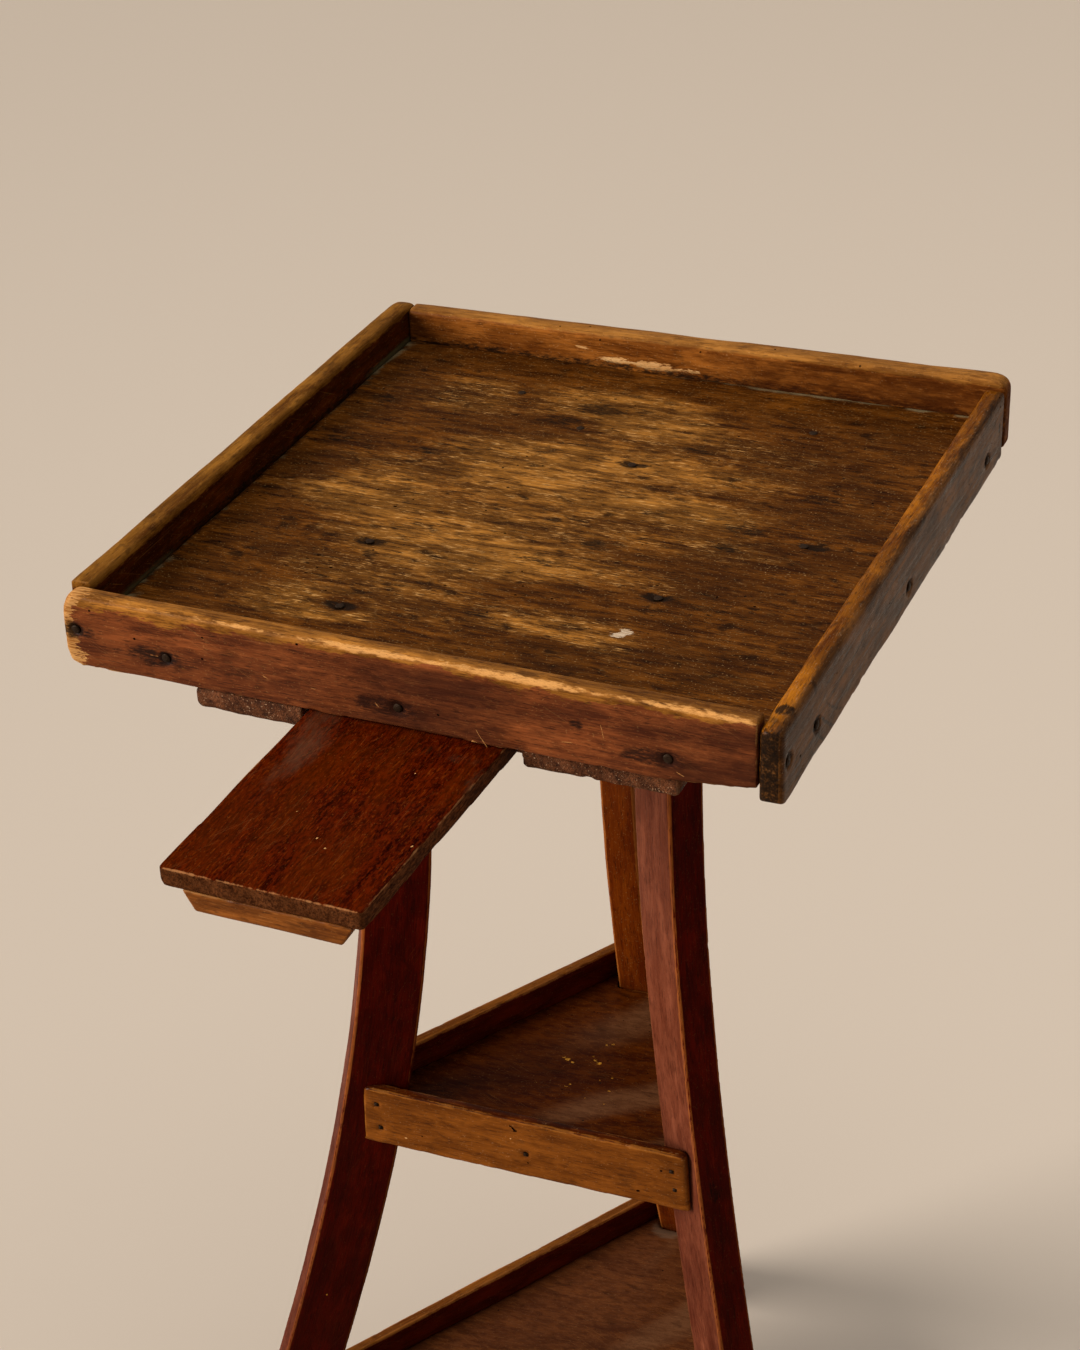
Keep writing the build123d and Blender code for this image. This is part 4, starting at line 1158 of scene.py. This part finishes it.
def layMarks(node, name, paint, seed, spots, uneven=0.0003):
    # a spot is (place, direction, length, width); it is laid on the nearest point of the dressed surface
    mesh = pieces[node].data
    tree = BVHTree.FromPolygons([vert.co for vert in mesh.vertices], [face.vertices for face in mesh.polygons])
    thick = markShape["thick"]
    places, normals = [], []
    for spot in spots:
        found, normal = tree.find_nearest(Vector(spot[0]))[:2]
        places.append(found + normal * (markShape["proud"] - thick / 2))
        normals.append(tuple(normal))
    fields = {"outward": normals, "along": [spot[1] for spot in spots],
              "span": [(length, width, thick) for place, along, length, width in spots]}
    values = {"Unevenness": uneven, "Corners": markShape["corners"], "Seed": seed, "Paint": paint}
    handOver(growOn(name, markTree, places, fields, values), node)
    print("marked", node, len(spots), "with", name)


def strewn(count, low, high, height, seed, sizes=(0.0005, 0.0011)):
    dice = np.random.default_rng(seed)
    spots = []
    for n in range(count):
        place = (dice.uniform(low[0], high[0]), dice.uniform(low[1], high[1]), height)
        size = dice.uniform(*sizes)
        spots.append((place, (1, 0, 0), size * dice.uniform(0.9, 1.5), size))
    return spots


floorTop = floorHigh.z
floorBores = [(-0.0283, 0.0714), (-0.0087, 0.0227), (-0.0930, 0.0472), (-0.0757, 0.0321), (-0.0146, -0.0380),
              (0.0709, 0.0080), (0.0844, -0.0037), (-0.0867, -0.0486), (-0.0810, -0.0331), (-0.0893, -0.0302),
              (-0.0690, -0.0623), (-0.0905, -0.0395), (-0.0840, -0.0420), (-0.0770, -0.0400), (-0.0930, -0.0350)]
frontBores = [(-0.1580, 0.7269), (-0.1341, 0.7158), (-0.0955, 0.7237), (-0.0968, 0.7118), (-0.0440, 0.7300),
              (0.0277, 0.7060)]
frontScratches = [((0.0463, 0.7023), (0.0519, 0.6932)), ((0.0444, 0.6954), (0.0494, 0.6932)),
                   ((-0.0665, 0.7100), (-0.0613, 0.7077)),
                   ((0.1086, 0.7180), (0.1103, 0.7099)), ((-0.1261, 0.7084), (-0.1217, 0.7082)),
                   ((-0.0050, 0.7063), (-0.0030, 0.7036)), ((0.1447, 0.7003), (0.1485, 0.6985)),
                   ((0.0887, 0.7043), (0.0951, 0.7051)), ((-0.0389, 0.7073), (-0.0352, 0.7069))]
layMarks("tray_floor", "floorBores", boreDark, 3,
         [((x, y, floorTop), (1, 0, 0), 0.0019, 0.0012) for x, y in floorBores]
         + strewn(46, (-0.15, -0.11), (0.16, 0.20), floorTop, 5, (0.0007, 0.0014)))
layMarks("front_board", "frontBores", boreDark, 4,
         [((x, frontY, z), (1, 0, 0), 0.0014, 0.0013) for x, z in frontBores])
layMarks("front_board", "frontScratches", scuffed, 5,
         [(((a[0] + b[0]) / 2, frontY, (a[1] + b[1]) / 2), (b[0] - a[0], 0, b[1] - a[1]),
           math.hypot(b[0] - a[0], b[1] - a[1]), 0.0004) for a, b in frontScratches], uneven=0.0004)
layMarks("right_board", "rightBores", boreDark, 6,
         [((rightX, y, z), (0, 1, 0), size, size * 0.8) for y, z, size in
          ((-0.1142, 0.7050, 0.0022), (0.2231, 0.7264, 0.0014), (0.2318, 0.7243, 0.0016), (0.2258, 0.7334, 0.0012),
           (-0.0620, 0.7190, 0.0013), (0.0210, 0.7120, 0.0012), (0.1180, 0.7200, 0.0014), (0.1640, 0.7080, 0.0012))])
layMarks("back_board", "backBores", boreDark, 7,
         [((x, y, z), (1, 0, 0), size, size) for x, y, z, size in
          ((-0.0408, backInner, 0.7300, 0.0012), (-0.0500, 0.2413, 0.7342, 0.0016), (0.0199, backInner, 0.7307, 0.0012),
           (0.1129, 0.2340, 0.7345, 0.0012), (-0.0667, 0.2364, 0.7341, 0.0010), (0.0620, 0.2400, 0.7342, 0.0012))])
layMarks("slide_board", "slideFlecks", rawWood, 8,
         [((x, y, slideTop), (0.4, 1, 0), length, width) for x, y, length, width in
          ((-0.0066, -0.2166, 0.0011, 0.0007), (0.0118, -0.2329, 0.0015, 0.0007), (0.0187, -0.2387, 0.0010, 0.0010),
           (0.0539, -0.2240, 0.0016, 0.0008), (0.0300, -0.1700, 0.0008, 0.0006))])
shelfChips = [(0.0004, 0.0566, 0.0030), (0.0043, 0.0551, 0.0020), (-0.0025, 0.0575, 0.0016), (0.0162, 0.0617, 0.0024),
              (0.0137, 0.0647, 0.0016), (0.0189, 0.0597, 0.0028), (0.0169, 0.0771, 0.0012), (0.0199, 0.0792, 0.0017),
              (0.0089, 0.0332, 0.0016), (0.0104, 0.0357, 0.0010), (-0.0088, 0.0302, 0.0012), (0.0339, 0.0379, 0.0014),
              (0.0311, 0.0495, 0.0010), (0.0233, 0.0271, 0.0009), (0.0253, 0.0453, 0.0008), (0.0355, 0.0260, 0.0010)]
layMarks("middle_shelf", "shelfChips", ochreChip, 9,
         [((x, y, middleTop), (1, 0.3, 0), size * 1.2, size * 0.8) for x, y, size in shelfChips], uneven=0.0010)
layMarks("middle_shelf", "shelfBores", boreDark, 10,
         strewn(26, (-0.02, 0.005), (0.06, 0.11), middleTop, 12, (0.0005, 0.0010)))
layMarks("middle_front_rail", "railBores", boreDark, 11,
         [((0.0009, -0.0258, 0.3628), (1, 0, -0.8), 0.0052, 0.0017),
          ((0.0025, -0.0258, 0.3612), (1, 0, 0.3), 0.0026, 0.0012),
          ((0.0095, -0.0254, 0.3399), (1, 0, 0), 0.0012, 0.0010),
          ((0.0886, -0.0215, 0.3558), (1, 0, 0), 0.0016, 0.0014),
          ((0.0749, -0.0222, 0.3375), (1, 0, 0.2), 0.0024, 0.0014),
          ((-0.0552, -0.0290, 0.3420), (1, 0, 0), 0.0012, 0.0008)])
layMarks("middle_front_rail", "railFlecks", rawWood, 12,
         [((-0.0655, -0.0290, 0.3381), (1, 0, 0), 0.0016, 0.0010),
          ((-0.0007, -0.0259, 0.3548), (1, 0, 0.5), 0.0015, 0.0009)])
layMarks("left_leg", "legChip", ochreChip, 13,
         [((-0.1209, -0.0449, 0.2109), (1, 0.5, 0.4), 0.0034, 0.0022)], uneven=0.0012)
print("marks ready")


# Forged nails: the places are read from the CAD nails, and one tree of Geometry Nodes makes them all

nailShape = {"headWidth": 0.0046, "headHeight": 0.0015, "shankWidth": 0.0024, "hammered": 0.0007, "sunk": 0.0004,
             "railShare": 0.50, "spin": 0.6, "seed": 7}
ironLook = {"dark": (0.005, 0.0026, 0.0015), "light": (0.044, 0.024, 0.013), "pit": (0.0012, 0.0012, 0.0012),
            "metallic": 0.2, "specular": 0.06, "bump": 0.6, "bumpDepth": 0.0002}


def makeIron(look):
    material, tree, shader = newMaterial("nailIron")
    pits = clouds(stretch(put(tree, "ShaderNodeTexCoord").outputs["Object"], look["pit"]), 3.0, 0.6)
    tree.links.new(tint(pits, look["dark"], look["light"]), shader["Base Color"])
    tree.links.new(ease(pits, 0.3, 0.7, 0.38, 0.65), shader["Roughness"])
    shader["Metallic"].default_value = look["metallic"]
    shader["Specular IOR Level"].default_value = look["specular"]
    bump = put(tree, "ShaderNodeBump", {"Height": pits, "Strength": look["bump"], "Distance": look["bumpDepth"]})
    tree.links.new(bump.outputs[0], shader["Normal"])
    return material


def makeNailTree():
    inputs = {"Geometry": "Geometry", "Head Width": 0.006, "Head Height": 0.0015, "Shank Width": 0.0024,
              "Hammered": 0.0005, "Seed": 1, "Iron": "Material"}
    tree, given, end = newGroup("forgedNails", "GeometryNodeTree", inputs, {"Geometry": "Geometry"})
    tree.is_modifier = True
    facing = put(tree, "FunctionNodeAlignRotationToVector", {"Vector": readField(tree, "outward")}, axis="Z").outputs[0]
    spin = put(tree, "FunctionNodeRandomValue", data_type="FLOAT")
    tree.links.new(given["Seed"], [s for s in spin.inputs if s.name == "Seed"][0])
    floats = [s for s in spin.inputs if s.type == "VALUE" and s.name in ("Min", "Max")]
    floats[0].default_value, floats[1].default_value = -nailShape["spin"], nailShape["spin"]
    angle = put(tree, "ShaderNodeCombineXYZ", {2: [s for s in spin.outputs if s.type == "VALUE"][0]}).outputs[0]
    turned = put(tree, "FunctionNodeRotateRotation", {0: facing, 1: angle}, rotation_space="LOCAL").outputs[0]

    head = put(tree, "GeometryNodeMeshIcoSphere", {"Radius": 0.5, "Subdivisions": 3}).outputs[0]
    size = put(tree, "ShaderNodeCombineXYZ", {0: given["Head Width"], 1: given["Head Width"], 2: given["Head Height"]})
    head = put(tree, "GeometryNodeTransform", {"Geometry": head, "Scale": size.outputs[0]}).outputs[0]
    heads = laidOut(tree, given["Geometry"], head, turned)
    place = put(tree, "GeometryNodeInputPosition").outputs[0]
    heads = shakenGeometry(tree, heads, place, 420.0, given["Hammered"])

    shank = put(tree, "GeometryNodeMeshCone", {"Vertices": 4, "Radius Top": 0.35, "Radius Bottom": 0.7, "Depth": 1.0})
    turn = (math.pi, 0, math.pi / 4)
    shank = put(tree, "GeometryNodeTransform", {"Geometry": shank.outputs[0], "Rotation": turn}).outputs[0]
    scale = put(tree, "ShaderNodeCombineXYZ", {0: given["Shank Width"], 1: given["Shank Width"],
                                               2: readField(tree, "shank", "FLOAT")}).outputs[0]
    joined = put(tree, "GeometryNodeJoinGeometry")
    tree.links.new(laidOut(tree, given["Geometry"], shank, facing, scale), joined.inputs[0])
    tree.links.new(heads, joined.inputs[0])
    finishedGeometry(tree, joined.outputs[0], given["Iron"], end)
    return tree


def nailPlaces(node):
    # one loose solid is one nail; its wide end is the head
    reading = weldedMesh(node)
    left = set(reading.verts)
    places = []
    while left:
        start = left.pop()
        group, queue = [start], [start]
        while queue:
            for edge in queue.pop().link_edges:
                for vert in edge.verts:
                    if vert in left:
                        left.remove(vert)
                        group.append(vert)
                        queue.append(vert)
        points = np.array([vert.co for vert in group])
        apart = points[:, None, :] - points[None, :, :]
        far = np.unravel_index(np.argmax((apart ** 2).sum(2)), apart.shape[:2])
        way = points[far[0]] - points[far[1]]
        middle = points.mean(0)
        values, ways = np.linalg.eigh((points - middle).T @ (points - middle))
        axis = ways[:, 2] if ways[:, 2] @ way >= 0 else -ways[:, 2]
        along = (points - middle) @ axis
        ends = (along < along.min() + 0.0002, along > along.max() - 0.003)
        spread = [np.ptp(points[end], axis=0).sum() for end in ends]
        if spread[0] > spread[1]:
            axis, along = -axis, -along
        tip = points[along < along.min() + 0.0004].mean(0)
        top = points[along > along.max() - 0.0016].mean(0)
        axis = (top - tip) / np.linalg.norm(top - tip)
        along = (points - tip) @ axis
        places.append((tip + axis * along.max(), axis, along.max()))
    reading.free()
    places.sort(key=lambda place: tuple(np.round(place[0], 4)))
    return places


nailIron = makeIron(ironLook)
nailTree = makeNailTree()
for node in ("gallery_nails", "floor_nails", "keeper_nails", "leg_nails", "slide_nails", "middle_rail_nails",
             "lower_rail_nails"):
    places = nailPlaces(node)
    below = nailShape["headHeight"] * 0.5 + nailShape["sunk"]
    small = nailShape["railShare"] if "rail" in node else 1
    values = {"Head Width": nailShape["headWidth"] * small, "Head Height": nailShape["headHeight"],
              "Shank Width": nailShape["shankWidth"], "Hammered": nailShape["hammered"], "Seed": nailShape["seed"],
              "Iron": nailIron}
    fields = {"outward": [axis for top, axis, length in places],
              "shank": [length - below for top, axis, length in places]}
    nails = growOn(camelName(node), nailTree, [top - axis * below for top, axis, length in places], fields, values)
    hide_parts(node)
    handOver(nails, node)
    print("nailed", node, len(places), "nails")
